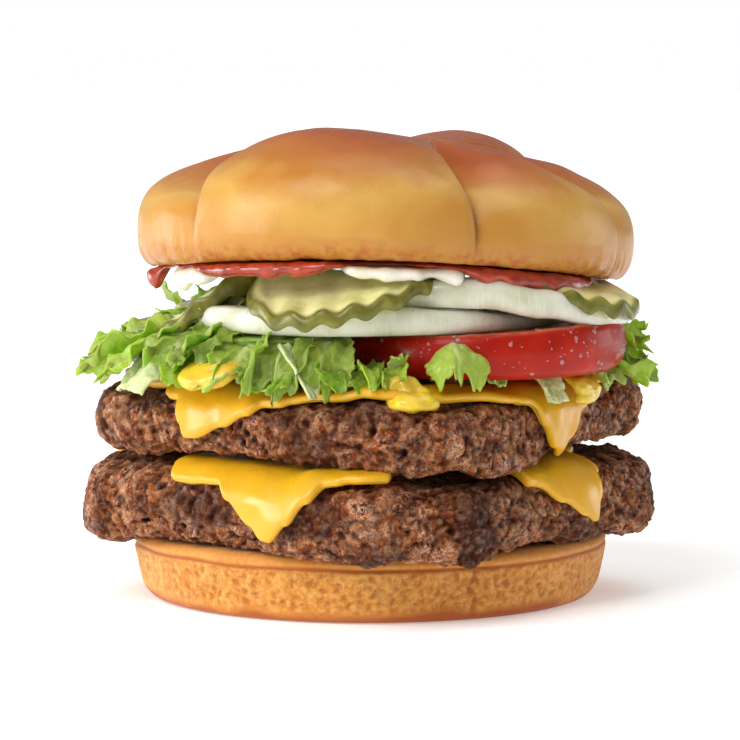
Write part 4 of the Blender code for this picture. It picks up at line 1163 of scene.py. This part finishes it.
def bedew(piece, share, seed, slot):
    """Strew drops over a piece; share scales the number and the size of the largest."""
    wet = settings("water")
    water = clear_water()
    tree = drop_tree(seed, water)
    holder = bpy.data.objects.new(piece.name + "_work", piece.data)
    bpy.context.scene.collection.objects.link(holder)
    work = holder.modifiers.new("drops", "NODES")
    work.node_group = tree
    values = {"Density": share * wet.density * 1.0e4, "Smallest": wet.smallest,
              "Largest": wet.smallest + share * (wet.largest - wet.smallest)}
    for socket in tree.interface.items_tree:
        if socket.in_out == "INPUT" and socket.name in values:
            work[socket.identifier] = values[socket.name]
    bpy.context.view_layer.update()
    settled = bpy.data.meshes.new_from_object(holder.evaluated_get(bpy.context.evaluated_depsgraph_get()))
    holder.modifiers.remove(work)
    bpy.data.objects.remove(holder)
    drops = bpy.data.objects.new(piece.name + "_drops", settled)
    bpy.context.scene.collection.objects.link(drops)
    settle(drops, water, slot)
    return drops


# ---------------------------------------------------------------- sauces

def make_spread(name, node, reach, hang, top, thick, finish, seed):
    """Sauce squeezed out under the crown; its lip swells and hangs where there is most of it."""
    azimuths = np.linspace(0.0, 360.0, 620, endpoint=False)
    side = away(azimuths)
    edge = along(reach, side) + 0.5 * ripple(heading(azimuths) * 50.0, 4.0, seed)
    drop = along(hang, side) * (1.0 + 0.35 * ripple(heading(azimuths) * 50.0, 2.6, seed + 1))
    rows = []
    for share in np.linspace(0.0, 1.0, 10):
        radius = edge - 4.0 - 12.0 * (1.0 - share)
        rows.append((radius, crown_underside(radius, azimuths) - thick))
    for angle in np.radians(np.linspace(-90.0, 90.0, 26)):
        radius = edge - 1.9 + 1.9 * math.cos(angle) + 0.0 * edge
        depth = 0.5 * (1.0 - math.sin(angle)) * (thick + drop)
        rows.append((radius, crown_underside(radius, azimuths) - depth))
    for share in np.linspace(0.0, 1.0, 6):
        radius = edge - 2.4 - 10.0 * share
        rows.append((radius, crown_underside(radius, azimuths)))
    points = np.array([heading(azimuths) * radius[:, None] + np.array([0.0, 0.0, 1.0]) * (top + height)[:, None]
                       for radius, height in rows])
    lump = 0.22 * ripple(points, 3.0, seed + 2) + 0.1 * ripple(points, 1.4, seed + 3)
    full = blend(0.1, 1.2, drop)[None] * blend(0.0, 3.0, np.arange(len(rows)) - 8.0)[:, None]
    points = points + grid_normals(points) * (lump * full)[..., None]
    foot = seated(np.array([0.0, 0.0, top - thick]))
    tip = seated(np.array([0.0, 0.0, top]))
    piece = shell(name, seated(points), {"lip": full}, (foot, tip))
    settle(piece, finish, node, node)
    return piece


def sauce(name, shade, dark, roughness, weight, radius):
    """Smooth wet sauce with a strong gloss."""
    made, tree, shader, place = finish_of(name)
    cloud = noise_of(tree, place, 3.0, 4.0, 0.6)
    colour = ramp(tree, cloud, (0.35, tone(dark)), (0.62, shade))
    tree.links.new(colour, shader.inputs["Base Color"])
    soft = bump_of(tree, noise_of(tree, place, 1.5, 3.0), 0.12, 0.5)
    tree.links.new(soft, shader.inputs["Normal"])
    set_up(shader, Roughness=roughness, Specular_IOR_Level=0.5, Subsurface_Weight=weight, Subsurface_Scale=0.003,
           Coat_Weight=0.4, Coat_Roughness=0.06)
    shader.inputs["Subsurface Radius"].default_value = radius
    return made


MAYO_REACH = ((-180.0, 43.5), (-78.0, 43.5), (-64.0, 50.5), (-52.0, 50.5), (-42.0, 44.0), (-14.0, 44.0),
              (-8.0, 52.0), (6.0, 52.5), (11.0, 49.0), (17.0, 51.5), (24.0, 44.0), (180.0, 43.5))
MAYO_HANG = ((-180.0, 0.4), (-76.0, 0.6), (-62.0, 3.6), (-50.0, 2.4), (-42.0, 0.3), (-14.0, 0.3), (-6.0, 2.0),
             (5.0, 2.2), (12.0, 1.6), (18.0, 2.6), (25.0, 0.3), (180.0, 0.4))
KETCHUP_REACH = ((-180.0, 49.0), (-92.0, 49.5), (-84.0, 52.5), (-76.0, 49.0), (-58.0, 49.5), (-48.0, 52.0),
                 (-36.0, 53.2), (-14.0, 53.2), (-8.0, 48.5), (10.0, 48.0), (20.0, 51.0), (30.0, 52.6), (52.0, 53.0),
                 (66.0, 49.0), (180.0, 49.0))
KETCHUP_HANG = ((-180.0, 0.3), (-92.0, 0.5), (-84.0, 4.0), (-76.0, 0.5), (-58.0, 0.3), (-48.0, 1.6), (-34.0, 2.2),
                (-19.0, 2.4), (-12.0, 0.6), (0.0, 0.2), (16.0, 0.4), (26.0, 2.6), (36.0, 4.0), (46.0, 3.2), (54.0, 3.2),
                (64.0, 0.4), (95.0, 0.2), (180.0, 0.3))


def make_sauces():
    """Mayonnaise, ketchup and the three dollops of mustard."""
    given = settings("sauces")
    cream = sauce("whipped_mayonnaise", given.mayonnaise, "#efe7cf", 0.25, 0.5, (1.0, 0.9, 0.7))
    make_spread("mayonnaise_spread", "mayonnaise", MAYO_REACH, MAYO_HANG, -1.4, 0.6, cream, 111)
    red = sauce("thick_ketchup", given.ketchup, "#861b08", 0.25, 0.15, (1.0, 0.2, 0.1))
    make_spread("ketchup_spread", "ketchup", KETCHUP_REACH, KETCHUP_HANG, -0.4, 0.7, red, 121)
    yellow = sauce("yellow_mustard", given.mustard, "#e0b82a", 0.34, 0.08, (1.0, 0.8, 0.15))
    for k, node in enumerate(MUSTARD):
        make_mustard(node, yellow, 131 + k)


# how each dollop sits against its solid: shift in mm and its share of the solid's height
MUSTARD = {
    "mustard_left": ((3.4, -1.0, 1.2), 0.6),
    "mustard_front": ((2.8, -7.0, -1.0), 1.15),
    "mustard_right": ((-0.5, 0.0, 0.0), 0.46),
}


def make_mustard(node, finish, seed):
    """Rounded dollop over its solid's place."""
    shift, squash = MUSTARD[node]
    data = bmesh.new()
    data.from_mesh(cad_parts[node].data)
    bmesh.ops.remove_doubles(data, verts=data.verts, dist=1e-6)
    bmesh.ops.subdivide_edges(data, edges=data.edges[:], cuts=4, use_grid_fill=True, smooth=1.0)
    bmesh.ops.smooth_vert(data, verts=data.verts, factor=0.5, use_axis_x=True, use_axis_y=True, use_axis_z=True)
    bmesh.ops.triangulate(data, faces=data.faces[:])
    data.normal_update()
    spots = np.array([v.co for v in data.verts]) / MM
    normals = np.array([v.normal for v in data.verts])
    lift = 0.25 + 0.35 * ripple(spots, 3.0, seed) + 0.15 * ripple(spots, 1.5, seed + 9)
    top = spots[:, 2].max()
    spots[:, 2] = top - (top - spots[:, 2]) * squash
    spots = spots + np.array(shift)
    faces = [[v.index for v in face.verts] for face in data.faces]
    data.free()
    piece = make_piece(node + "_dollop", spots + normals * lift[:, None], faces)
    settle(piece, finish, "mustard", node)

# ---------------------------------------------------------------- lettuce

LEAF_THICK = 0.45


def leaf(spot, swing, pitch, curl, length, width, frill=1.6, cup=0.18, twist=0.0, pale=0.25, jagged=1.0, seed=1,
         rows=30, columns=38):
    """Grid and marks of one torn piece of leaf.

    spot is (azimuth, radius, height) of its root; it sets off swing degrees from straight
    outwards, climbing at pitch degrees, and its pitch changes by curl degrees on the way.
    """
    azimuth, radius, height = spot
    u = np.linspace(-0.5, 0.5, columns)[None, :]
    v = np.linspace(0.0, 1.0, rows)[:, None]
    out = heading(azimuth + swing)
    side = heading(azimuth + swing + 90.0)
    up = np.array([0.0, 0.0, 1.0])
    angle = np.radians(pitch + curl * v)
    reach = length / (rows - 1)
    ahead = np.cumsum(np.cos(angle), axis=0) * reach
    climb = np.cumsum(np.sin(angle), axis=0) * reach
    roll = np.radians(twist * v)
    face = (-out * np.sin(angle)[..., None] + up * np.cos(angle)[..., None])
    forward = (out * np.cos(angle)[..., None] + up * np.sin(angle)[..., None])
    across = side * np.cos(roll)[..., None] + face * np.sin(roll)[..., None]
    face = face * np.cos(roll)[..., None] - side * np.sin(roll)[..., None]

    spread = width * (0.62 + 0.38 * np.sin(np.pi * (0.18 + 0.64 * v)))
    here = np.stack([u + 0 * v, 0 * u + v, 0 * u * v + seed], axis=-1)
    torn = 0.16 * ripple(here * np.array([7.0, 2.0, 1.0]), 1.0, seed)
    torn = torn + 0.09 * ripple(here * np.array([19.0, 3.0, 1.0]), 1.0, seed + 1)
    margin = v ** 1.5
    away_from_rib = np.abs(u) * 2.0
    phase = 6.28 * lattice(np.array([seed, 3, 5]), 7)
    bent = u + 0.07 * np.sin(4.0 * v + phase) + 0.05 * np.sin(11.0 * u + phase)
    waves = np.sin(2.0 * np.pi * 1.6 * bent + phase + 1.5 * v)
    waves = waves + 0.42 * v * np.sin(2.0 * np.pi * 4.1 * bent + 2.0 * phase + 4.0 * v)
    waves = waves + 0.2 * v ** 3 * np.sin(2.0 * np.pi * 8.5 * bent + 7.0 * v)
    sides = away_from_rib ** 3 * np.sin(2.0 * np.pi * 2.6 * v + phase) + 0.4 * away_from_rib ** 3 * np.sin(2.0 * np.pi * 6.0 * v)
    lift = frill * (margin * waves + 0.55 * sides)
    lift = lift + width * cup * (4.0 * u * u - 0.3)
    broad = min(1.0, width / 12.0)
    lift = lift + 0.9 * broad * ripple(here * np.array([5.0, 5.0, 1.0]), 1.0, seed + 2)
    lift = lift + 0.3 * broad * ripple(here * np.array([14.0, 12.0, 1.0]), 1.0, seed + 3)
    slide = frill * 0.8 * margin * np.cos(2.0 * np.pi * 1.6 * bent + phase + 1.5 * v)
    points = np.array(heading(azimuth) * radius + up * height)
    points = points + out * ahead[..., None] + up * climb[..., None]
    points = points + across * (u * spread + slide)[..., None] + face * lift[..., None]
    points = points + forward * (jagged * length * torn * v ** 5)[..., None]
    edge_tear = 0.07 * width * ripple(here * np.array([1.0, 16.0, 1.0]), 1.0, seed + 5) * away_from_rib ** 4
    points = points + across * (np.sign(u) * edge_tear)[..., None]

    rib = np.exp(-(u / (0.075 * (1.25 - v))) ** 2)
    twig = (v - 0.75 * np.abs(u)) * 6.5
    veins = np.exp(-((twig - np.round(twig)) / 0.09) ** 2) * blend(0.02, 0.12, np.abs(u))
    fine = np.abs(u) * 26.0 + 3.0 * v
    net = 0.35 * np.exp(-((fine - np.round(fine)) / 0.16) ** 2)
    light = np.clip(pale ** 2 + 0.6 * rib * (1.0 - 0.8 * v) + (1.0 - v) ** 2.0 * pale, 0.0, 1.0)
    marks = {"light": light, "vein": np.clip(rib + 0.8 * veins + net, 0.0, 1.0),
             "margin": margin + 0.0 * u, "own": 0.0 * u * v + lattice(np.array([seed, 1, 2]), 9)}
    relief = 0.25 * rib * (1.2 - v) + 0.08 * veins
    return points + face * relief[..., None], marks


def grow_leaves(name, leaves, *nodes):
    """One piece of several leaves, each a thin closed sheet."""
    spots, faces, full = [], [], {}
    start = 0
    for kept in leaves:
        points, marks = leaf(**kept)
        rows, columns = points.shape[:2]
        across = np.gradient(points, axis=1)
        forth = np.gradient(points, axis=0)
        normals = np.cross(across, forth)
        normals /= np.maximum(np.linalg.norm(normals, axis=-1, keepdims=True), 1e-9)
        half = 0.5 * LEAF_THICK * (0.6 + 0.9 * marks["light"])[..., None]
        upper, lower = points + normals * half, points - normals * half
        count = rows * columns
        spots.append(np.concatenate([upper.reshape(-1, 3), lower.reshape(-1, 3)]))
        sheet = np.array(grid_faces(rows, columns, False))
        index = np.arange(count).reshape(rows, columns)
        border = np.concatenate([index[0], index[1:, -1], index[-1, -2::-1], index[-2:0:-1, 0]])
        after = np.roll(border, -1)
        wall = np.stack([after, border, border + count, after + count], axis=-1)
        faces += (np.concatenate([sheet, sheet[:, ::-1] + count, wall]) + start).tolist()
        start += 2 * count
        for key, values in marks.items():
            full.setdefault(key, []).append(np.tile(values.ravel(), 2))
    spots = np.concatenate(spots)
    room = [np.array(corner) / MM for corner in CAD_BOX]
    spots = np.clip(spots, room[0] + 0.05, room[1] - 0.05)
    piece = make_piece(name, spots, faces, {key: np.concatenate(parts) for key, parts in full.items()})
    settle(piece, crisp_leaf(), "lettuce", *nodes)
    return piece


def crisp_leaf():
    """Fresh lettuce: thin and translucent, bright green with a waxy gloss and pale ribs."""
    found = bpy.data.materials.get("crisp_lettuce")
    if found:
        return found
    made, tree, shader, place = finish_of("crisp_lettuce")
    slices = settings("slices")
    cloud = noise_of(tree, place, 6.0, 4.0, 0.6)
    shade = math_of(tree, "MULTIPLY_ADD", mark_of(tree, "own"), 0.45, math_of(tree, "MULTIPLY_ADD", cloud, 0.8, -0.2))
    green = ramp(tree, shade, (0.1, tone("#4c6c10")), (0.4, slices.leaf), (0.7, tone("#a5bf34")))
    edge = mixed(tree, math_of(tree, "MULTIPLY", mark_of(tree, "margin"), 0.35), green, tone("#7fa31f"))
    light = mixed(tree, mark_of(tree, "light"), edge, slices.rib)
    vein = mixed(tree, math_of(tree, "MULTIPLY", mark_of(tree, "vein"), 0.32), light, tone("#bfd16c"))
    tree.links.new(vein, shader.inputs["Base Color"])
    crinkle = bump_of(tree, noise_of(tree, place, 1.6, 5.0, 0.6), 0.3, 0.6)
    ribs = bump_of(tree, mark_of(tree, "vein"), 0.25, 0.5, crinkle)
    tree.links.new(ribs, shader.inputs["Normal"])
    set_up(shader, Roughness=0.36, Specular_IOR_Level=0.3, Subsurface_Weight=0.55, Subsurface_Scale=0.002,
           Coat_Weight=0.2, Coat_Roughness=0.14)
    shader.inputs["Subsurface Radius"].default_value = (0.6, 1.0, 0.15)
    return made


LETTUCE_REACH = ((-180.0, 50.0), (-140.0, 51.0), (-112.0, 53.0), (-88.0, 53.0), (-58.0, 51.0), (-40.0, 49.0),
                 (-20.0, 48.0), (-12.0, 42.0), (-4.0, 30.0), (68.0, 30.0), (80.0, 50.0), (98.0, 53.0),
                 (112.0, 51.0), (140.0, 50.0), (180.0, 50.0))


def make_lettuce_core():
    """Packed middle of the heap, its side creased like the edges of stacked leaves and painted a darker green for the
    shade inside the heap.
    """
    azimuths = np.linspace(0.0, 360.0, 420, endpoint=False)
    rows = []
    for inset, height in ((24.0, 51.4), (6.0, 51.4), *((0.0, z) for z in np.linspace(51.6, 59.4, 30)),
                          (4.0, 60.2), (24.0, 60.3)):
        rows.append(heading(azimuths) * (along(LETTUCE_REACH, away(azimuths)) - inset)[:, None]
                    + np.array([0.0, 0.0, height]))
    points = np.array(rows)
    stretched = points * np.array([1.0, 1.0, 2.2])
    creases = 1.6 * ripple(stretched, 5.0, 141) + 0.9 * ripple(stretched, 2.2, 142) - 0.6
    side = blend(0.0, 3.0, np.arange(len(rows)) - 1.0) * blend(0.0, 3.0, len(rows) - 3.0 - np.arange(len(rows)))
    points = points + heading(azimuths)[None] * (creases * side[:, None])[..., None]
    # painted shade: the low own and light values colour the core a darker green, as the shaded inside of the heap
    marks = {"light": 0.1 + 0.0 * creases, "vein": 0.0 * creases, "margin": 0.0 * creases, "own": 0.1 + 0.0 * creases}
    piece = shell("lettuce_core", points, marks)
    settle(piece, crisp_leaf(), "lettuce", "lettuce")


def heap(start, stop, count, seed):
    """Random leaves of the chopped heap between two azimuths."""
    chance = np.random.default_rng(seed)
    kept = []
    for k in range(count):
        azimuth = start + (stop - start) * (k + chance.uniform(0.1, 0.9)) / count
        low = k % 3
        kept.append(dict(spot=(azimuth, chance.uniform(40.0, 45.0), 52.3 + 2.4 * low + chance.uniform(-0.5, 0.8)),
                         swing=chance.uniform(-40.0, 40.0), pitch=chance.uniform(0.0, 26.0),
                         curl=chance.uniform(-70.0, -10.0), length=chance.uniform(11.0, 17.0),
                         width=chance.uniform(11.0, 18.0), frill=chance.uniform(0.9, 1.8),
                         cup=chance.uniform(-0.2, 0.25), twist=chance.uniform(-40.0, 40.0),
                         pale=chance.choice([0.05, 0.15, 0.3, 0.6]), seed=int(chance.integers(1000))))
    return kept


def strewn(start, stop, count, seed):
    """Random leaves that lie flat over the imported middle."""
    chance = np.random.default_rng(seed)
    kept = []
    for k in range(count):
        azimuth = start + (stop - start) * (k + chance.uniform(0.1, 0.9)) / count
        kept.append(dict(spot=(azimuth, chance.uniform(14.0, 38.0), chance.uniform(60.2, 61.6)),
                         swing=chance.uniform(-80.0, 80.0), pitch=chance.uniform(2.0, 14.0),
                         curl=chance.uniform(-40.0, 0.0), length=chance.uniform(12.0, 19.0),
                         width=chance.uniform(12.0, 18.0), frill=chance.uniform(0.9, 1.7),
                         cup=chance.uniform(-0.1, 0.2), twist=chance.uniform(-25.0, 25.0),
                         pale=chance.choice([0.05, 0.15, 0.35, 0.8]), seed=int(chance.integers(1000)),
                         rows=22, columns=22))
    return kept


# leaves that show at the front: root (azimuth, radius, height), then how each grows from it
LEFT_LEAVES = (
    dict(spot=(-64.0, 42.0, 60.0), swing=-12.0, pitch=2.0, curl=-50.0, length=22.0, width=22.0, frill=2.0, cup=0.1,
         pale=0.15, seed=5),
    dict(spot=(-74.0, 43.0, 58.0), swing=0.0, pitch=6.0, curl=-46.0, length=20.0, width=19.0, frill=2.2, pale=0.2,
         seed=8),
    dict(spot=(-60.0, 46.0, 54.6), swing=-2.0, pitch=6.0, curl=-62.0, length=16.0, width=12.0, frill=0.5, cup=-0.2,
         pale=1.0, jagged=0.25, seed=12),
    dict(spot=(-50.0, 43.0, 59.6), swing=4.0, pitch=10.0, curl=-62.0, length=17.0, width=15.0, frill=1.7, pale=0.25,
         seed=17),
    dict(spot=(-42.0, 42.0, 61.2), swing=-14.0, pitch=4.0, curl=-52.0, length=14.0, width=14.0, frill=1.3, cup=-0.1,
         pale=0.0, seed=22),
    dict(spot=(-46.0, 46.0, 56.0), swing=16.0, pitch=-4.0, curl=-40.0, length=12.0, width=13.0, frill=1.2, pale=0.1,
         seed=27),
    dict(spot=(-31.0, 46.0, 52.4), swing=-28.0, pitch=6.0, curl=-30.0, length=13.0, width=8.0, frill=0.5, pale=0.5,
         seed=31),
    dict(spot=(-33.0, 43.0, 60.0), swing=6.0, pitch=-2.0, curl=-66.0, length=16.0, width=13.0, frill=1.2, pale=0.2,
         seed=35),
)
FRONT_LEAVES = (
    dict(spot=(-21.0, 42.0, 60.4), swing=-4.0, pitch=-2.0, curl=-80.0, length=17.0, width=12.0, frill=1.0, cup=0.1,
         pale=0.3, seed=41),
    dict(spot=(-12.0, 42.0, 60.4), swing=6.0, pitch=0.0, curl=-82.0, length=16.0, width=12.0, frill=1.1, cup=0.1,
         pale=0.2, seed=44),
    dict(spot=(-22.0, 50.0, 59.0), swing=70.0, pitch=-38.0, curl=-22.0, length=14.0, width=4.0, frill=0.2, cup=0.2,
         pale=1.0, jagged=0.1, seed=47),
    dict(spot=(-24.0, 45.0, 54.5), swing=0.0, pitch=-2.0, curl=-40.0, length=12.0, width=14.0, frill=1.0, pale=0.1,
         seed=51),
    dict(spot=(-6.0, 46.0, 53.4), swing=14.0, pitch=6.0, curl=-34.0, length=11.0, width=14.0, frill=1.0, pale=0.1,
         seed=54),
    dict(spot=(1.0, 47.0, 53.0), swing=16.0, pitch=30.0, curl=-70.0, length=10.0, width=9.0, frill=1.2, pale=0.15,
         seed=58),
    dict(spot=(6.0, 49.0, 52.2), swing=8.0, pitch=64.0, curl=-50.0, length=8.0, width=3.5, frill=0.5, pale=0.4,
         seed=61),
    dict(spot=(30.0, 50.0, 52.0), swing=-8.0, pitch=24.0, curl=-70.0, length=5.0, width=5.0, frill=0.4, pale=0.5,
         seed=64),
    dict(spot=(43.0, 50.0, 52.0), swing=6.0, pitch=-10.0, curl=-60.0, length=9.0, width=6.5, frill=0.3, cup=0.3,
         pale=1.0, jagged=0.3, seed=67),
)
HANGING_LEAF = (
    dict(spot=(20.0, 49.0, 56.0), swing=-10.0, pitch=42.0, curl=-122.0, length=14.5, width=12.5, frill=0.5, cup=-0.3,
         twist=14.0, pale=0.25, seed=71),
)
RIGHT_LEAVES = (
    dict(spot=(80.0, 46.0, 57.0), swing=-4.0, pitch=20.0, curl=-44.0, length=15.0, width=17.0, frill=1.8, pale=0.1,
         seed=75),
    dict(spot=(72.0, 46.0, 53.4), swing=6.0, pitch=2.0, curl=-30.0, length=17.0, width=15.0, frill=1.4, pale=0.2,
         seed=78),
    dict(spot=(88.0, 44.0, 54.5), swing=-14.0, pitch=4.0, curl=-40.0, length=18.0, width=18.0, frill=1.7, pale=0.15,
         seed=81),
    dict(spot=(64.0, 48.0, 52.4), swing=0.0, pitch=2.0, curl=-40.0, length=10.0, width=10.0, frill=0.8, pale=0.6,
         seed=84),
)


def make_lettuce():
    """Chopped lettuce: a packed core and many curled, frilled pieces of leaf round it."""
    make_lettuce_core()
    grow_leaves("lettuce_leaves_left", list(LEFT_LEAVES) + heap(-132.0, -74.0, 7, 5), "lettuce")
    grow_leaves("lettuce_leaves_front", list(FRONT_LEAVES), "lettuce")
    grow_leaves("lettuce_leaf_hanging", HANGING_LEAF, "lettuce_leaf_front")
    grow_leaves("lettuce_leaves_right", list(RIGHT_LEAVES) + heap(88.0, 132.0, 6, 13), "lettuce")
    grow_leaves("lettuce_leaves_back", heap(132.0, 228.0, 18, 21), "lettuce")
    grow_leaves("lettuce_leaves_top", strewn(80.0, 306.0, 46, 33), "lettuce")


# ---------------------------------------------------------------- stage

def make_stage():
    """White floor, soft light from the upper left, and the camera."""
    view = settings("stage")
    scene = bpy.context.scene
    half = 4.0
    floor = bpy.data.meshes.new("floor")
    floor.from_pydata([(-half, -half, 0), (half, -half, 0), (half, half, 0), (-half, half, 0)], [], [(0, 1, 2, 3)])
    ground = bpy.data.objects.new("floor", floor)
    scene.collection.objects.link(ground)
    made, tree, shader, place = finish_of("white_paper")
    set_up(shader, Base_Color=(*view.paper, 1.0), Roughness=0.7, Specular_IOR_Level=0.1,
           Emission_Color=(1.0, 1.0, 1.0, 1.0), Emission_Strength=view.glow)
    floor.materials.append(made)

    world = bpy.data.worlds.new("studio")
    world.use_nodes = True
    tree = world.node_tree
    back = tree.nodes["Background"]
    back.inputs["Color"].default_value = (1.0, 1.0, 1.0, 1.0)
    seen = add(tree, "ShaderNodeLightPath").outputs["Is Camera Ray"]
    tree.links.new(math_of(tree, "MULTIPLY_ADD", seen, 1.0 - view.fill, view.fill), back.inputs["Strength"])
    scene.world = world

    def aim(thing, spot, target):
        thing.location = Vector(spot)
        thing.rotation_euler = (Vector(target) - Vector(spot)).to_track_quat("-Z", "Y").to_euler()
        scene.collection.objects.link(thing)

    centre = (0.0, 0.0, 0.05)
    for name, spot, strength, spread in (("key", (-0.9, -1.0, 1.6), view.key, 34.0),
                                         ("top", (0.2, 0.4, 2.0), view.top, 50.0)):
        light = bpy.data.lights.new(name, "SUN")
        light.energy = strength
        light.angle = math.radians(spread)
        aim(bpy.data.objects.new(name, light), spot, centre)
    for name, spot, strength, size in (("window", (-0.95, -0.3, 0.3), view.window, 0.45),
                                       ("glint", (-0.5, -0.95, 0.75), view.glint, 0.1),
                                       ("rim_left", (-0.8, 0.4, 0.14), view.rim, 0.3),
                                       ("rim_right", (0.85, 0.35, 0.14), 0.6 * view.rim, 0.3)):
        light = bpy.data.lights.new(name, "AREA")
        light.energy = strength
        light.size = size
        aim(bpy.data.objects.new(name, light), spot, centre)

    lens = bpy.data.cameras.new("camera")
    lens.sensor_width = 36.0
    lens.lens = 36.0 * view.distance / view.width
    eye = bpy.data.objects.new("camera", lens)
    lift = view.elevation
    target = Vector((0.0, 0.0, view.target))
    aim(eye, target + Vector((0.0, -math.cos(lift), math.sin(lift))) * view.distance, target)
    lens.clip_start = 0.01
    scene.camera = eye
    scene.view_settings.view_transform = "Standard"


# ---------------------------------------------------------------- operators

class BURGER_OT_stage(bpy.types.Operator):
    """White floor, studio lights and the camera"""
    bl_idname = "burger.stage"
    bl_label = "Stage"

    def execute(self, context):
        make_stage()
        return {"FINISHED"}


class BURGER_OT_heel(bpy.types.Operator):
    """Lower half of the bun, with a leathery crust"""
    bl_idname = "burger.heel"
    bl_label = "Bun heel"

    def execute(self, context):
        make_heel()
        return {"FINISHED"}


class BURGER_OT_patties(bpy.types.Operator):
    """Two seared patties of coarse mince"""
    bl_idname = "burger.patties"
    bl_label = "Patties"

    def execute(self, context):
        for node in PATTIES:
            make_patty(node)
        return {"FINISHED"}


class BURGER_OT_cheese(bpy.types.Operator):
    """A melted slice over each patty; the patties come first"""
    bl_idname = "burger.cheese"
    bl_label = "Cheese"

    def execute(self, context):
        for name in CHEESE_DROPS:
            make_cheese(name)
        return {"FINISHED"}


class BURGER_OT_tomato(bpy.types.Operator):
    """Thick tomato slice with drops of water"""
    bl_idname = "burger.tomato"
    bl_label = "Tomato"

    def execute(self, context):
        make_tomato()
        return {"FINISHED"}


class BURGER_OT_lettuce(bpy.types.Operator):
    """Chopped lettuce: its core and the leaves round it"""
    bl_idname = "burger.lettuce"
    bl_label = "Lettuce"

    def execute(self, context):
        make_lettuce()
        return {"FINISHED"}


class BURGER_OT_onions(bpy.types.Operator):
    """Two onion rings and a short piece"""
    bl_idname = "burger.onions"
    bl_label = "Onions"

    def execute(self, context):
        make_onions()
        return {"FINISHED"}


class BURGER_OT_pickles(bpy.types.Operator):
    """Three crinkle-cut pickle slices"""
    bl_idname = "burger.pickles"
    bl_label = "Pickles"

    def execute(self, context):
        for name in PICKLES:
            make_pickle(name)
        return {"FINISHED"}


class BURGER_OT_sauces(bpy.types.Operator):
    """Mayonnaise, ketchup and three dollops of mustard"""
    bl_idname = "burger.sauces"
    bl_label = "Sauces"

    def execute(self, context):
        make_sauces()
        return {"FINISHED"}


class BURGER_OT_crown(bpy.types.Operator):
    """Upper half of the bun: five glazed lobes"""
    bl_idname = "burger.crown"
    bl_label = "Bun crown"

    def execute(self, context):
        make_crown()
        return {"FINISHED"}


STEPS = (BURGER_OT_stage, BURGER_OT_heel, BURGER_OT_patties, BURGER_OT_cheese, BURGER_OT_tomato,
         BURGER_OT_lettuce, BURGER_OT_onions, BURGER_OT_pickles, BURGER_OT_sauces, BURGER_OT_crown)


class BURGER_PT_pieces(bpy.types.Panel):
    """Pieces of the burger and the sizes and colours they use"""
    bl_idname = "BURGER_PT_pieces"
    bl_label = "Burger"
    bl_space_type = "VIEW_3D"
    bl_region_type = "UI"
    bl_category = "Burger"

    def draw(self, context):
        for step in STEPS:
            self.layout.operator(step.bl_idname)
        for kind, group in SETTINGS.items():
            box = self.layout.box()
            box.label(text=kind.capitalize())
            for key in group.__annotations__:
                box.prop(settings(kind), key)


def register():
    """Add the settings, the operators and the panel."""
    for group in SETTINGS.values():
        bpy.utils.register_class(group)
    for kind, group in SETTINGS.items():
        setattr(bpy.types.Scene, "burger_" + kind, PointerProperty(type=group))
    for step in STEPS:
        bpy.utils.register_class(step)
    bpy.utils.register_class(BURGER_PT_pieces)


def unregister():
    """Take them away again."""
    bpy.utils.unregister_class(BURGER_PT_pieces)
    for step in reversed(STEPS):
        bpy.utils.unregister_class(step)
    for kind, group in SETTINGS.items():
        delattr(bpy.types.Scene, "burger_" + kind)
        bpy.utils.unregister_class(group)


def main():
    """Make every piece in order."""
    register()
    for step in STEPS:
        getattr(bpy.ops.burger, step.bl_idname.split(".")[1])()


if __name__ == "__main__":
    main()
